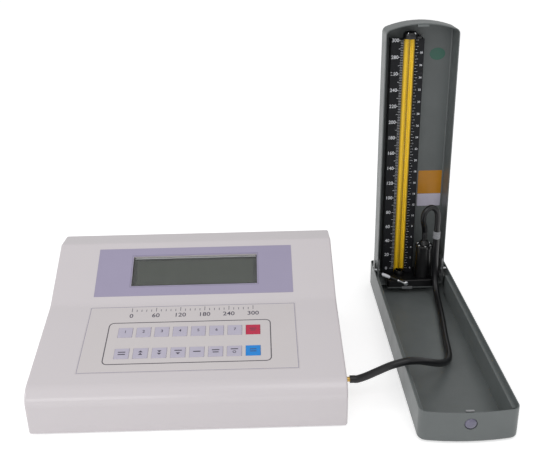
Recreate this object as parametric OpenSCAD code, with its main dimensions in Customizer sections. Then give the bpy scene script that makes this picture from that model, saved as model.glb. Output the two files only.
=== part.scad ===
// A desk instrument for checking blood-pressure gauges, joined by an air hose to
// a mercury column that stands in the lid of its own folding case.
// Millimetres. The origin is the middle of the footprint, on the table; +Z is up
// and the keypad faces -Y.

/* [Console casing] */
// Width of the console
console_w = 312; // [290:1:340]
// Depth of the console from front face to rear face
console_d = 237; // [230:1:260]
// Thickness of the moulded cover
cover_wall = 2.8; // [2.4:0.1:3.4]
// Height of the cover's lower edge above the table
cover_lift = 2; // [1.5:0.1:4]
// Distance of the crease between the two sloping faces from the front
crease_y = 128; // [124:1:134]
// Height of that crease above the table
crease_z = 75.6; // [72:0.2:82]
// Slope of the keypad face in degrees
keypad_slope = 12.6; // [10:0.2:14]
// Slope of the display face in degrees
display_slope = 27.7; // [25:0.2:30]
// Length of the display face up its slope
display_run = 85; // [84:1:92]
// Drop from the top ridge to the rear edge
ridge_drop = 2; // [0:0.5:5]
// Radius of the rounded front edge
front_round = 18; // [10:1:20]
// Thickness of the base plate
base_plate_t = 3; // [2:0.5:4]
// Radius of a console foot
console_foot_r = 8; // [6:0.5:10]

/* [Display] */
// Width of the tinted panel round the display
panel_w = 219; // [200:1:240]
// Height of the tinted panel up the slope
panel_h = 66; // [60:1:68]
// Distance of the panel's lower edge above the crease
panel_up = 10; // [9:0.5:12]
// Width of the display window
window_w = 140; // [120:1:150]
// Height of the display window
window_h = 41.5; // [36:0.5:44]

/* [Keypad] */
// Width of the keypad sheet
sheet_w = 221; // [200:1:240]
// Height of the keypad sheet down the slope
sheet_h = 99; // [92:1:102]
// Distance of the sheet's upper edge below the crease
sheet_down = 5; // [4.5:0.5:7]
// Distance from one key to the next across
key_pitch = 19; // [17:0.5:22]
// Distance from the upper key row to the lower one
row_pitch = 31; // [20:1:34]
// Distance of the upper key row below the crease
row_down = 46.3; // [38:0.1:50]
// Width of a key
key_w = 15; // [12:0.5:16]
// Height of a key
key_h = 14.5; // [11:0.5:16]
// Distance that a key travels
key_travel = 0.3; // [0.2:0.05:0.35]
// Shift of the key block to the left of the middle
keys_left = 1.7; // [0:0.1:5]

/* [Column case] */
// Width of the tray
tray_w = 96; // [92:1:110]
// Length of the tray
tray_l = 339; // [337:1:345]
// Height of the tray's wall above the table
tray_h = 35; // [33:0.5:36]
// Depth of the side ledges below the top of the tray's wall
ledge_drop = 5.5; // [5:0.1:7]
// Thickness of the pressed sheet
sheet_t = 1.2; // [1:0.1:1.4]
// Gap between the console and the tray
units_gap = 64; // [50:1:90]
// Width of the folding lid
lid_w = 86; // [84:0.5:87]
// Height of the lid's top above the table when it stands open
lid_top = 345.5; // [340:0.5:345.5]
// Height of the lid's lower end above the table when it stands open
lid_foot = 11; // [10.5:0.5:13]
// Depth of the lid from rim to back
lid_depth = 32; // [30:0.5:36]
// Rise of the bowed end of the lid
lid_bow = 8.5; // [5:0.5:10]
// Bulge of the tray's front wall
tray_bow = 5; // [3:0.5:6]
// Radius of the lid's hinge pins
pin_r = 2; // [1.5:0.1:2.5]
// Radius of the catch button
button_r = 6; // [4.5:0.5:7]
// Distance that the catch button travels
button_travel = 1.2; // [0.8:0.1:1.3]

/* [Mercury column] */
// Height of one millimetre of mercury on the scale
mmhg = 0.985; // [0.96:0.005:0.99]
// Height of the zero mark above the table
zero_z = 28.5; // [27:0.5:30]
// Outer radius of the glass tube
tube_r = 4.5; // [3.5:0.1:4.6]
// Radius of the tube's bore
bore_r = 2; // [1.5:0.1:2.5]
// Width of the tinted strip behind the tube
strip_w = 13.4; // [11:0.2:14]
// Radius of the mercury reservoir at its foot
reservoir_r = 11.5; // [10.5:0.5:12.5]
// Height of the mercury reservoir
reservoir_h = 40; // [34:1:44]
// Outer diameter of the air hose
hose_d = 8; // [7:0.5:9]

/* [Hidden] */

$fn = 48;
eps = 0.01;
cut = 1;          // how far a cutting body runs past a face
touch = 0.1;      // gap between a glued or clipped piece and its seat
arc_steps = 8;    // segments of a rounded corner in an outline

// Overall placing
button_proud = 1.5;
lid_front = 313;                              // the lid's rim plane behind the tray's front
lid_back = lid_front + lid_depth;
footprint_w = console_w + units_gap + tray_w;
footprint_d = lid_back + button_proud;
console_at = [-footprint_w / 2 + console_w / 2, -footprint_d / 2 + button_proud + 29.3, 0];
column_at = [footprint_w / 2 - tray_w / 2, -footprint_d / 2 + button_proud, 0];

// Console outline, as distances from the front face and the table
front_z = crease_z - crease_y * tan(keypad_slope);
ridge_y = crease_y + display_run * cos(display_slope);
ridge_z = crease_z + display_run * sin(display_slope);
cover_points = [
  [2, cover_lift], [console_d, cover_lift], [console_d, ridge_z - ridge_drop],
  [ridge_y, ridge_z], [crease_y, crease_z], [0, front_z]
];
cover_rounds = [0, 0, 8, 8, 30, front_round];
base_z = cover_lift + 0.5;                    // underside of the base plate
base_top = base_z + base_plate_t;
base_gap = 0.4;                               // all round between base plate and cover
inner_w = console_w - 2 * cover_wall;

// Keypad layers, measured from the face of the cover along its normal
sheet_recess = 1.6;
circuit_t = 0.5;
sheet_proud = 0.05;
dome_h = 0.1;
dome_r = 5;
key_proud = 0.15;
key_gap = 0.15;
circuit_top = circuit_t - sheet_recess;
key_low = circuit_top + dome_h + key_travel + 0.02;
key_columns = 8;

// Display stack
panel_recess = 0.4;
glass_edge = 5;                               // overlap of the clear window under the cover
glass_t = 1.5;
module_t = 5.7;
board_t = 1.6;
window_up = panel_up + (panel_h - window_h) / 2 + 1;
post_r = 3;
module_low = -cover_wall - glass_t - module_t;
post_side = 5;                                // posts stand this far outside the clear window

// Rear panel
rear_w = 280;
rear_low = 14;
rear_h = 76;
rear_lap = 7;
rear_t = 2;
rear_face = console_d - cover_wall;           // the panel's outer face
inlet_x = 108;
inlet_z = 46;
inlet_w = 27;
inlet_h = 20;
inlet_deep = 20;
socket_w = 24;
socket_h = 16;
socket_deep = 16;
switch_x = 70;
switch_w = 13;
switch_h = 19;
rocker_w = 11;
rocker_half = 7.6;
rocker_tilt = 8;

// Air port on the right side of the console
port_y = 50;
port_z = 23;
port_hole_r = 5;
port_nut_t = 3;
port_stub = 4;
port_stub_r = 2.6;
port_reach = port_nut_t + port_stub;

// Base plate fixings
boss_r = 4;
boss_hole_r = 1.4;
screw_r = 1.3;
screw_head_r = 3;
screw_head_t = 1.4;
boss_in = 14;                                 // boss centre in from the cover's inner corner
foot_in = 28;

// Inner parts of the console
board_w = 170;
board_d = 96;
board_x = 20;
board_y = 168;
board_z = base_top + 8;
pillar_r = 3.5;
sensor_size = [18, 14, 8];
sensor_x = 70;
pump_x = 124;
pump_y = 96;
pump_r = 13;
pump_len = 42;
pump_head = [30, 28, 28];
tank_r = 17;
tank_len = 90;
tank_x = -40;
tank_y = 52;
valve_x = 45;
valve_size = [22, 18, 20];
inner_tube_r = 2.5;
transformer_x = -108;
transformer_y = console_d - 61;
transformer_size = [62, 52, 46];

// Tray
tray_z = 1.5;                                 // underside of the tray's floor
floor_top = tray_z + sheet_t;
ledge_z = tray_h - ledge_drop;
ledge_inner = lid_w / 2 - 0.6;                // half width between the side ledges
ledge_front = 14;
ledge_rear = 40;                              // the ledges stop this far short of the rear
tray_foot_r = 6;
tray_round = 9;
rear_cut = lid_foot - 1.5;                    // height left of the rear wall behind the lid
rear_cut_half = lid_w / 2 + 1;

// Lid and hinge
hinge_y = lid_front + 2.5;
hinge_z = 32;
lid_wall = 1.3;
lid_round = 7;
lid_foot_round = 3;
pin_gap = 0.05;
pin_reach = lid_w / 2 - 3;                    // inner end of a hinge pin from the middle
plate_t = 1.2;
plate_h = 30;
plate_d = 16;
lid_inner_back = lid_back - lid_wall;

// Catch
button_z = 22.5;
button_gap = 0.2;
button_len = 3.2;
flange_back = sheet_t + 1.1;                  // rear face of the button's flange
hook_w = 8;
hook_t = 1.1;
hook_foot = 15;
catch_plate_size = [13, 10, 2.6];
catch_plate_y = lid_front + 0.5;
catch_plate_top = lid_top - lid_wall - 0.3;
slot_y = lid_front + 1.5;
slot_h = 2.7;
slot_deep = 1.6;
// Where the striker comes to lie in the tray when the lid is shut
shut_face = hinge_y + hinge_z - (catch_plate_top - catch_plate_size[2]);
shut_slot = hinge_z + slot_y - hinge_y;
hook_back = shut_face + 0.4;                  // front face of the hook's upright
hook_nose = button_travel - 0.1;              // how far the nose reaches past the striker's face
hook_top = shut_slot + slot_h - 0.6;

// Column parts, measured from the tray's middle and front
tube_x = -12.5;
scale_left = -34;
scale_right = 5;
channel_t = 1.5;
scale_face = lid_front + 14;                 // front face of the scale plates
plate_thick = 2.5;
channel_face = scale_face + plate_thick;
strip_t = 0.5;
strip_side = 0.4;                             // between the strip and the scale plates
tube_y = channel_face - strip_t - touch - tube_r;
block_left = -31;
block_right = 29;
block_front = lid_front - 10;
block_top = 22;
block_low = lid_foot + lid_wall + touch;
scale_low = block_top + touch;
scale_top = zero_z + 300 * mmhg + 1;
cap_r = 8.5;
cap_h = 9;
cap_low = scale_top + 1.5;
tube_seat = 5;                                // how deep the tube stands in the block
seat_gap = 0.05;
reservoir_x = 17;
reservoir_y = lid_front + 5;
reservoir_top_r = reservoir_r - 1.5;
reservoir_wall = 2.5;
reservoir_floor = 4;
cap_t = 4;
cap_over = 1;
dome_top = 6;
nipple_r = 3;
nipple_h = 4;
screw_circle = reservoir_top_r - 1.6;
cap_screw_count = 6;
cap_screw_r = 1.5;
cap_screw_t = 0.9;
mercury_h = 14;
reservoir_low = block_top;
reservoir_high = reservoir_low + reservoir_h;
nipple_top = reservoir_high + cap_t + dome_top + nipple_h;

// Shut-off lever on the front of the valve block
lever_x = -7;
lever_z = 18;
lever_len = 35;
lever_angle = 155;                            // direction of the arm, from +X towards +Z
lever_t = 1.4;
lever_stand = 1.2;
grip_len = 11;
stem_r = 2.4;
stem_hole = stem_r + 0.05;
stem_in = 8;

// Coupling that joins the short hose to the long one
coupling_at = [29, block_front + 0.5, 80];
coupling_h = 9.5;
coupling_r = 4.6;
hose_sides = 10;
hose_steps = 3;                               // rings for each stretch between route points

// The short hose climbs off the reservoir, turns over and comes down to the coupling
column_route = [
  [reservoir_x, reservoir_y, nipple_top], [reservoir_x, reservoir_y, nipple_top + 4],
  [reservoir_x, reservoir_y, nipple_top + 8], [15.2, 314, 92], [12, 307.5, 103],
  [12, 304.5, 113], [15.5, 303.5, 119.5], [20.5, 303.5, 122],
  [25.5, 303.5, 119.5], [28.5, 303.5, 113], [29, 303.5, 104], coupling_at + [0, 0, coupling_h + 6],
  coupling_at + [0, 0, coupling_h]
];
// The long hose leaves the console, crosses the tray's edge and lies along its floor
port_tip = [port_reach - units_gap - tray_w / 2, port_y + 29.3, port_z];
hose_route = [
  port_tip, port_tip + [4, 0, 0], port_tip + [8, 0, 0], [-88, 79.5, 26], [-76, 80, 31.5], [-62, 80.5, 37.6],
  [-46, 83, 40.2], [-32, 89, 36.6], [-19, 98, 28.8], [-6, 110, 19.5], [4, 123, 12.5],
  [11, 137, 9], [14.5, 154, 7], [16.5, 172, 6.8], [19, 192, 6.8], [22, 214, 6.8],
  [25, 236, 6.8], [27.5, 258, 6.8], [29.3, 278, 8], [30, 291, 13.5], [30, 299.5, 24],
  [29.6, 303, 38], coupling_at - [0, 0, 26], coupling_at - [0, 0, 12], coupling_at
];

// Outline helpers
function unit(v) = v / norm(v);

function turned(a) = a > 180 ? a - 360 : a <= -180 ? a + 360 : a;

// Points of an arc of radius r that rounds the corner b between a and c
function corner(a, b, c, r) =
  r <= 0 ? [b] :
  let (
    u = unit(a - b),
    w = unit(c - b),
    half = acos(u * w) / 2,
    middle = b + unit(u + w) * r / sin(half),
    first = b + u * r / tan(half) - middle,
    last = b + w * r / tan(half) - middle,
    start = atan2(first[1], first[0]),
    sweep = turned(atan2(last[1], last[0]) - start)
  ) [for (i = [0:arc_steps])
      middle + r * [cos(start + sweep * i / arc_steps), sin(start + sweep * i / arc_steps)]];

function rounded(points, radii) =
  let (n = len(points))
  [for (i = [0:n - 1]) each corner(points[(i + n - 1) % n], points[i], points[(i + 1) % n], radii[i])];

// The same outline drawn in by d, for points that run anticlockwise
function inset(points, d) =
  let (n = len(points))
  [for (i = [0:n - 1])
    let (
      e = unit(points[i] - points[(i + n - 1) % n]),
      g = unit(points[(i + 1) % n] - points[i]),
      p = [-e[1], e[0]],
      q = [-g[1], g[0]]
    ) points[i] + d * (p + q) / (1 + p * q)];

function shrunk(radii, d) = [for (r = radii) r > 0 ? max(r - d, 0.2) : 0];

// Points of a shallow arc of height rise over the width 2 * half, from +half to -half
function bowed(half, rise, steps = 10) =
  let (r = (half * half + rise * rise) / (2 * rise), reach = asin(half / r))
  [for (i = [0:steps]) let (a = reach - 2 * reach * i / steps) [r * sin(a), r * cos(a) - r + rise]];

// Sweep helpers for the hoses
function spline_point(a, b, c, d, t) =
  0.5 * ((2 * b) + (c - a) * t + (2 * a - 5 * b + 4 * c - d) * t * t + (3 * b - a - 3 * c + d) * t * t * t);

function smooth_route(route) =
  let (n = len(route))
  [for (i = [0:n - 2]) for (k = [0:hose_steps - 1])
      spline_point(route[max(i - 1, 0)], route[i], route[i + 1], route[min(i + 2, n - 1)], k / hose_steps),
    route[n - 1]];

function heading(path, i) = unit(path[min(i + 1, len(path) - 1)] - path[max(i - 1, 0)]);

// A side direction square to each heading, carried along without twist
function sides(path, i = 0, last = undef, found = []) =
  i == len(path) ? found :
  let (
    t = heading(path, i),
    seed = last == undef ? (abs(t[2]) < 0.9 ? [0, 0, 1] : [0, 1, 0]) : last,
    s = unit(seed - (seed * t) * t)
  ) sides(path, i + 1, s, concat(found, [s]));

module swept_tube(route, r) {
  path = smooth_route(route);
  side = sides(path);
  n = len(path);
  points = [for (i = [0:n - 1]) for (k = [0:hose_sides - 1])
    let (a = 360 * k / hose_sides, u = side[i], v = cross(heading(path, i), side[i]))
    path[i] + r * (cos(a) * u + sin(a) * v)];
  walls = [for (i = [0:n - 2]) for (k = [0:hose_sides - 1])
    let (a = i * hose_sides + k, b = i * hose_sides + (k + 1) % hose_sides)
    each [[a, a + hose_sides, b + hose_sides], [a, b + hose_sides, b]]];
  first_end = [for (k = [1:hose_sides - 2]) [0, k, k + 1]];
  last_end = [
      for (k = [1:hose_sides - 2])
        [(n - 1) * hose_sides, (n - 1) * hose_sides + k + 1, (n - 1) * hose_sides + k]
    ];
  polyhedron(points, concat(walls, first_end, last_end));
}

// Placing helpers
module in_console() { translate(console_at) children(); }
module in_column() { translate(column_at) children(); }
module on_keypad() {
  in_console() translate([0, crease_y, crease_z]) rotate([keypad_slope, 0, 0]) children();
}
module on_display() {
  in_console() translate([0, crease_y, crease_z]) rotate([display_slope, 0, 0]) children();
}

// A bar of the outline in the YZ plane, as long as w along X
module bar_x(points, w) { rotate([90, 0, 90]) linear_extrude(w, center = true) polygon(points); }

// A box from its low corner to its high corner
module span_box(low, high) { translate(low) cube(high - low); }

module slab(w, h, low, high) { translate([-w / 2, -h / 2, low]) cube([w, h, high - low]); }

module rounded_slab(w, h, r, low, high) {
  translate([0, 0, low]) linear_extrude(high - low)
    polygon(rounded([[-w / 2, -h / 2], [w / 2, -h / 2], [w / 2, h / 2], [-w / 2, h / 2]], [r, r, r, r]));
}

module rod_x(r, low, high) { translate([low, 0, 0]) rotate([0, 90, 0]) cylinder(h = high - low, r = r); }
module rod_y(r, low, high) { translate([0, low, 0]) rotate([-90, 0, 0]) cylinder(h = high - low, r = r); }

module corners_of(w, d) {
  for (x = [-w / 2, w / 2]) for (y = [-d / 2, d / 2]) translate([x, y, 0]) children();
}

// Console cover
module cover_block() { bar_x(rounded(cover_points, cover_rounds), console_w); }

module cover_hollow() {
  low = [for (p = cover_points) p[1] == cover_lift ? [p[0], cover_lift - 2 * cover_wall] : p];
  bar_x(rounded(inset(low, cover_wall), shrunk(cover_rounds, cover_wall)), inner_w);
}

module at_bosses() {
  translate([0, console_d / 2, 0])
    corners_of(inner_w - 2 * boss_in, console_d - 2 * cover_wall - 2 * boss_in) children();
}

module cover_bosses() {
  intersection() {
    cover_block();
    at_bosses() translate([0, 0, base_top]) cylinder(h = 2 * ridge_z, r = boss_r);
  }
}

module display_posts() {
  for (x = [-1, 1]) for (y = [window_up - 2, window_up + window_h + 2])
    translate([x * (window_w / 2 + glass_edge + post_side), y, module_low])
      cylinder(h = -module_low - cover_wall + eps, r = post_r);
}

module console_cover() {
  color("gainsboro") {
    difference() {
      union() {
        in_console() difference() {
          union() {
            difference() {
              cover_block();
              cover_hollow();
            }
            cover_bosses();
          }
          at_bosses() translate([0, 0, base_top - cut]) cylinder(h = 12 + cut, r = boss_hole_r);
          span_box([-rear_w / 2, console_d - cover_wall - cut, rear_low],
            [rear_w / 2, console_d + cut, rear_low + rear_h]);
          translate([0, port_y, port_z]) rod_x(port_hole_r, inner_w / 2 - cut, console_w / 2 + cut);
        }
        on_display() display_posts();
      }
      on_display() {
        translate([0, panel_up + panel_h / 2, 0])
          slab(panel_w + 2 * touch, panel_h + 2 * touch, -panel_recess, cut);
        translate([0, window_up + window_h / 2, 0]) slab(window_w, window_h, -2 * cover_wall, cut);
      }
      on_keypad() translate([0, -sheet_down - sheet_h / 2, 0])
        slab(sheet_w + 2 * touch, sheet_h + 2 * touch, -sheet_recess, cut);
    }
  }
}

module base_vents() {
  for (i = [-4:4]) translate([i * 9, console_d / 2 - 30, 0]) slab(4, 46, base_z - cut, base_top + cut);
}

module board_pillars() {
  translate([board_x, board_y, base_top - eps]) corners_of(board_w - 12, board_d - 12)
    cylinder(h = board_z - base_top + eps, r = pillar_r);
}

module console_base() {
  color("whitesmoke") in_console() {
    difference() {
      span_box([-inner_w / 2 + base_gap, cover_wall + 2 + base_gap, base_z],
        [inner_w / 2 - base_gap, console_d - cover_wall - rear_t - 2 * base_gap, base_top]);
      base_vents();
      at_bosses() {
        translate([0, 0, base_z - cut]) cylinder(h = base_plate_t + 2 * cut, r = screw_r + 0.3);
        translate([0, 0, base_z - cut]) cylinder(h = screw_head_t + 0.2 + cut, r = screw_head_r + 0.3);
      }
    }
    board_pillars();
  }
}

module base_screws() {
  color("silver") in_console() at_bosses() translate([0, 0, base_z + 0.2]) {
    cylinder(h = screw_head_t, r = screw_head_r);
    cylinder(h = base_plate_t + 10, r = screw_r);
  }
}

module console_feet() {
  color("dimgray") in_console() translate([0, console_d / 2, 0])
    corners_of(console_w - 2 * foot_in, console_d - 2 * foot_in) cylinder(h = base_z, r = console_foot_r);
}

module rear_panel() {
  color("lightgray") in_console() difference() {
    span_box([-rear_w / 2 - rear_lap, rear_face - rear_t, rear_low - rear_lap],
      [rear_w / 2 + rear_lap, rear_face, rear_low + rear_h + rear_lap]);
    translate([inlet_x, 0, inlet_z])
      span_box([-inlet_w / 2 - touch, rear_face - rear_t - cut, -inlet_h / 2 - touch],
      [inlet_w / 2 + touch, rear_face + cut, inlet_h / 2 + touch]);
    translate([switch_x, 0, inlet_z])
      span_box([-switch_w / 2 - touch, rear_face - rear_t - cut, -switch_h / 2 - touch],
      [switch_w / 2 + touch, rear_face + cut, switch_h / 2 + touch]);
  }
}

module mains_inlet() {
  flange = cover_wall - 0.3;
  color("black") in_console() translate([inlet_x, rear_face, inlet_z]) {
    difference() {
      union() {
        span_box([-inlet_w / 2, -inlet_deep, -inlet_h / 2], [inlet_w / 2, eps, inlet_h / 2]);
        span_box([-inlet_w / 2 - 3, 0, -inlet_h / 2 - 3], [inlet_w / 2 + 3, flange, inlet_h / 2 + 3]);
      }
      span_box([-socket_w / 2, flange - socket_deep, -socket_h / 2],
        [socket_w / 2, flange + cut, socket_h / 2]);
    }
    for (p = [[-7, -2.5], [7, -2.5], [0, 3]])
      span_box([p[0] - 1, flange - socket_deep - eps, p[1] - 2], [p[0] + 1, flange - 4, p[1] + 2]);
  }
}

module power_switch() {
  flange = cover_wall - 0.6;
  color("black") in_console() translate([switch_x, rear_face, inlet_z]) difference() {
    union() {
      span_box([-switch_w / 2, -14, -switch_h / 2], [switch_w / 2, eps, switch_h / 2]);
      span_box([-switch_w / 2 - 1, 0, -switch_h / 2 - 1], [switch_w / 2 + 1, flange, switch_h / 2 + 1]);
    }
    span_box([-rocker_w / 2 - 0.2, -8, -rocker_half - 0.7],
      [rocker_w / 2 + 0.2, flange + cut, rocker_half + 0.7]);
  }
}

// Axis of the rocker: a line along X just inside the panel's face
rocker_axis = [switch_x, rear_face - 0.4, inlet_z];

module power_rocker() {
  color("firebrick") in_console() translate(rocker_axis) rotate([rocker_tilt, 0, 0])
    bar_x([[-4.5, -4], [1.2, -rocker_half], [2.6, -rocker_half], [1.2, 0], [2.6, rocker_half],
      [1.2, rocker_half], [-4.5, 4]], rocker_w);
}

module air_port() {
  color("goldenrod") in_console() translate([console_w / 2, port_y, port_z]) {
    rotate([0, 90, 0]) cylinder(h = port_nut_t, r = 8, $fn = 6);
    rod_x(port_stub_r, 0, port_reach);
    rod_x(port_hole_r - 0.1, -cover_wall - 2, eps);
    rod_x(7, -cover_wall - 5, -cover_wall - touch);
    rod_x(port_stub_r, -cover_wall - 13, -cover_wall - 5 + eps);
  }
}

// Display parts
module display_panel() {
  color("lightsteelblue") on_display() difference() {
    translate([0, panel_up + panel_h / 2, 0]) slab(panel_w, panel_h, -panel_recess, sheet_proud);
    translate([0, window_up + window_h / 2, 0]) slab(window_w, window_h, -cut, cut);
  }
}

module display_window() {
  color("lightgray", 0.4) on_display() translate([0, window_up + window_h / 2, 0])
    slab(window_w + 2 * glass_edge, window_h + glass_edge, -cover_wall - glass_t, -cover_wall);
}

module display_module() {
  color("darkslategray") on_display() translate([0, window_up + window_h / 2, 0]) {
    slab(window_w + 2 * glass_edge, window_h + glass_edge, module_low, -cover_wall - glass_t);
    slab(window_w + 4 * glass_edge + 6, window_h + 2 * glass_edge, module_low - board_t, module_low);
  }
}

// Keypad parts
module at_key(column, row) {
  translate([(column - (key_columns - 1) / 2) * key_pitch - keys_left, -row_down - row * row_pitch, 0])
    children();
}

module at_keys() {
  for (row = [0:1]) for (column = [0:key_columns - 1]) at_key(column, row) children();
}

module keypad_sheet() {
  color("gainsboro") on_keypad() difference() {
    translate([0, -sheet_down - sheet_h / 2, 0]) slab(sheet_w, sheet_h, circuit_top, sheet_proud);
    at_keys() slab(key_w + 2 * key_gap, key_h + 2 * key_gap, circuit_top - cut, cut);
  }
}

module keypad_circuit() {
  color("seagreen") on_keypad() {
    translate([0, -sheet_down - sheet_h / 2, 0]) slab(sheet_w - 4, sheet_h - 4, -sheet_recess, circuit_top);
    at_keys() translate([0, 0, circuit_top - eps]) cylinder(h = dome_h + eps, r = dome_r, $fn = 32);
  }
}

module key(column, row, tint) {
  color(tint) on_keypad() at_key(column, row) rounded_slab(key_w, key_h, 0.8, key_low, key_proud);
}

module key_1() { key(0, 0, "lavender"); }
module key_2() { key(1, 0, "lavender"); }
module key_3() { key(2, 0, "lavender"); }
module key_4() { key(3, 0, "lavender"); }
module key_5() { key(4, 0, "lavender"); }
module key_6() { key(5, 0, "lavender"); }
module key_7() { key(6, 0, "lavender"); }
module key_red() { key(7, 0, "crimson"); }
module key_set() { key(0, 1, "lavender"); }
module key_up() { key(1, 1, "lavender"); }
module key_down() { key(2, 1, "lavender"); }
module key_step() { key(3, 1, "lavender"); }
module key_hold() { key(4, 1, "lavender"); }
module key_zero() { key(5, 1, "lavender"); }
module key_vent() { key(6, 1, "lavender"); }
module key_blue() { key(7, 1, "deepskyblue"); }

// Inner parts of the console
module main_board() {
  chips = [
    [-50, 20, 16, 16, 2], [-14, 18, 22, 10, 3], [26, -6, 18, 18, 2.2],
    [-40, -24, 12, 30, 8], [4, -26, 26, 9, 9]
  ];
  color("darkgreen") in_console() translate([board_x, board_y, board_z]) {
    slab(board_w, board_d, 0, board_t);
    for (c = chips) translate([c[0], c[1], 0]) slab(c[2], c[3], board_t - eps, board_t + c[4]);
    for (x = [-70, -58]) translate([x, -30, board_t - eps]) cylinder(h = 18, r = 5, $fn = 32);
  }
}

module pressure_sensor() {
  color("ivory") in_console() translate([board_x + sensor_x, board_y - 28, board_z + board_t + touch]) {
    slab(sensor_size[0], sensor_size[1], 0, sensor_size[2]);
    translate([0, 0, sensor_size[2] - eps]) cylinder(h = 6, r = inner_tube_r - 0.6, $fn = 24);
  }
}

module air_pump() {
  color("slategray") in_console() translate([pump_x, pump_y, base_top + touch]) {
    translate([0, 0, pump_head[2] / 2]) rod_y(pump_r, 0, pump_len);
    translate([0, -pump_head[1] / 2, 0]) slab(pump_head[0], pump_head[1] + 2 * eps, 0, pump_head[2]);
    translate([0, pump_len - 8, 0]) slab(6, 12, 0, 3);
    translate([-pump_head[0] / 2, -pump_head[1] / 2, pump_head[2] / 2]) rod_x(inner_tube_r - 0.6, -6, eps);
  }
}

module deflate_valve() {
  color("darkgray") in_console() translate([valve_x, tank_y, base_top + touch]) {
    slab(valve_size[0], valve_size[1], 0, valve_size[2]);
    translate([0, 0, valve_size[2] / 2])
      rod_x(inner_tube_r - 0.6, valve_size[0] / 2 - eps, valve_size[0] / 2 + 6);
    translate([0, 0, valve_size[2] / 2])
      rod_x(inner_tube_r - 0.6, -valve_size[0] / 2 - 6, eps - valve_size[0] / 2);
    translate([0, 0, valve_size[2] - eps]) cylinder(h = 6 + eps, r = inner_tube_r - 0.6, $fn = 24);
  }
}

module air_tank() {
  color("silver") in_console() translate([tank_x, tank_y, base_top + touch + tank_r]) {
    rod_x(tank_r, -tank_len / 2, tank_len / 2);
    for (x = [-30, 30]) translate([x, 0, -tank_r]) slab(8, 2 * tank_r, 0, tank_r);
    rod_x(inner_tube_r - 0.6, tank_len / 2 - eps, tank_len / 2 + 6);
    translate([20, 0, 0]) cylinder(h = tank_r + 6, r = inner_tube_r - 0.6, $fn = 24);
  }
}

module inner_tubes() {
  level = base_top + touch + valve_size[2] / 2;
  tank_end = [tank_x + tank_len / 2 + 6 + touch, tank_y, base_top + touch + tank_r];
  valve_in = [valve_x - valve_size[0] / 2 - 6 - touch, tank_y, level];
  valve_out = [valve_x + valve_size[0] / 2 + 6 + touch, tank_y, level];
  valve_up = [valve_x, tank_y, level + valve_size[2] / 2 + 6 + touch];
  port_end = [console_w / 2 - cover_wall - 13 - touch, port_y, port_z];
  pump_end = [
    pump_x - pump_head[0] / 2 - 6 - touch,
    pump_y - pump_head[1] / 2,
    base_top + touch + pump_head[2] / 2
  ];
  tank_up = [tank_x + 20, tank_y, base_top + touch + 2 * tank_r + 6 + touch];
  sensor_up = [board_x + sensor_x, board_y - 28, board_z + board_t + sensor_size[2] + 6 + 2 * touch];
  color("tan") in_console() {
    swept_tube([tank_end, tank_end + [4, 0, -0.5], valve_in - [4, 0, -0.5], valve_in], inner_tube_r);
    swept_tube([valve_out, valve_out + [15, 0, 0.5], port_end - [15, 0, 0.5], port_end], inner_tube_r);
    swept_tube([pump_end, pump_end - [8, 1, 0], (pump_end + valve_up) / 2 + [-6, 2, 8], valve_up + [2, 4, 9],
      valve_up + [0, 0, 4], valve_up], inner_tube_r);
    swept_tube([tank_up, tank_up + [0, 0.5, 3], tank_up + [14, 9, 6],
          tank_up * 0.45 + sensor_up * 0.55 + [0, 0, 12],
      sensor_up + [-4, -3, 15], sensor_up + [0, 0, 5], sensor_up], inner_tube_r);
  }
}

module transformer() {
  w = transformer_size[0];
  d = transformer_size[1];
  h = transformer_size[2];
  color("dimgray") in_console() translate([transformer_x, transformer_y, base_top + touch]) {
    slab(w, d - 16, 0, h);
    slab(w - 20, d, 9, h - 9);
    slab(w + 16, 14, 0, 2);
  }
}

// Tray of the column case
tray_points = concat(
  [for (p = bowed(tray_w / 2, tray_bow)) [-p[0], tray_bow - p[1]]],
  [[tray_w / 2, tray_l], [-tray_w / 2, tray_l]]
);
tray_rounds = [for (i = [0:len(tray_points) - 1])
  i == 0 || i == len(tray_points) - 3 ? tray_round : i > len(tray_points) - 3 ? 4 : 0];

module tray_hollow() {
  translate([0, 0, floor_top]) linear_extrude(tray_h)
    polygon(rounded(inset(tray_points, sheet_t), shrunk(tray_rounds, sheet_t)));
}

// The ledge on one side that the closed lid rests on, with the inner wall below it
module tray_ledge(side) {
  far = tray_w / 2 - sheet_t + eps;
  translate([side * (ledge_inner + far) / 2, 0, 0])
    span_box([-(far - ledge_inner) / 2, ledge_front, ledge_z - sheet_t],
      [(far - ledge_inner) / 2, tray_l - ledge_rear, ledge_z]);
  translate([side * (ledge_inner + sheet_t / 2), 0, 0])
    span_box([-sheet_t / 2, ledge_front, floor_top - eps], [sheet_t / 2, tray_l - ledge_rear, ledge_z]);
}

module case_tray() {
  color("gray") in_column() difference() {
    union() {
      difference() {
        translate([0, 0, tray_z]) linear_extrude(tray_h - tray_z) polygon(rounded(tray_points, tray_rounds));
        tray_hollow();
      }
      tray_ledge(-1);
      tray_ledge(1);
    }
    span_box([-rear_cut_half, tray_l - 5 * sheet_t, rear_cut], [rear_cut_half, tray_l + cut, 2 * tray_h]);
    translate([0, hinge_y, hinge_z]) rod_x(pin_r, -tray_w, tray_w);
    translate([0, 0, button_z]) rod_y(button_r + button_gap, -cut, 3);
  }
}

module tray_feet() {
  color("black") in_column() translate([0, tray_l / 2, 0]) corners_of(tray_w - 28, tray_l - 40)
    cylinder(h = tray_z, r = tray_foot_r);
}

// Lid of the column case, standing open
lid_shoulder = lid_top - lid_bow;
lid_points = concat(
  [[-lid_w / 2, lid_foot], [lid_w / 2, lid_foot]],
  [for (p = bowed(lid_w / 2, lid_bow)) [p[0], lid_shoulder + p[1]]]
);
lid_rounds = [for (i = [0:len(lid_points) - 1])
  i < 2 ? lid_foot_round : i == 2 || i == len(lid_points) - 1 ? lid_round : 0];

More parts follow.
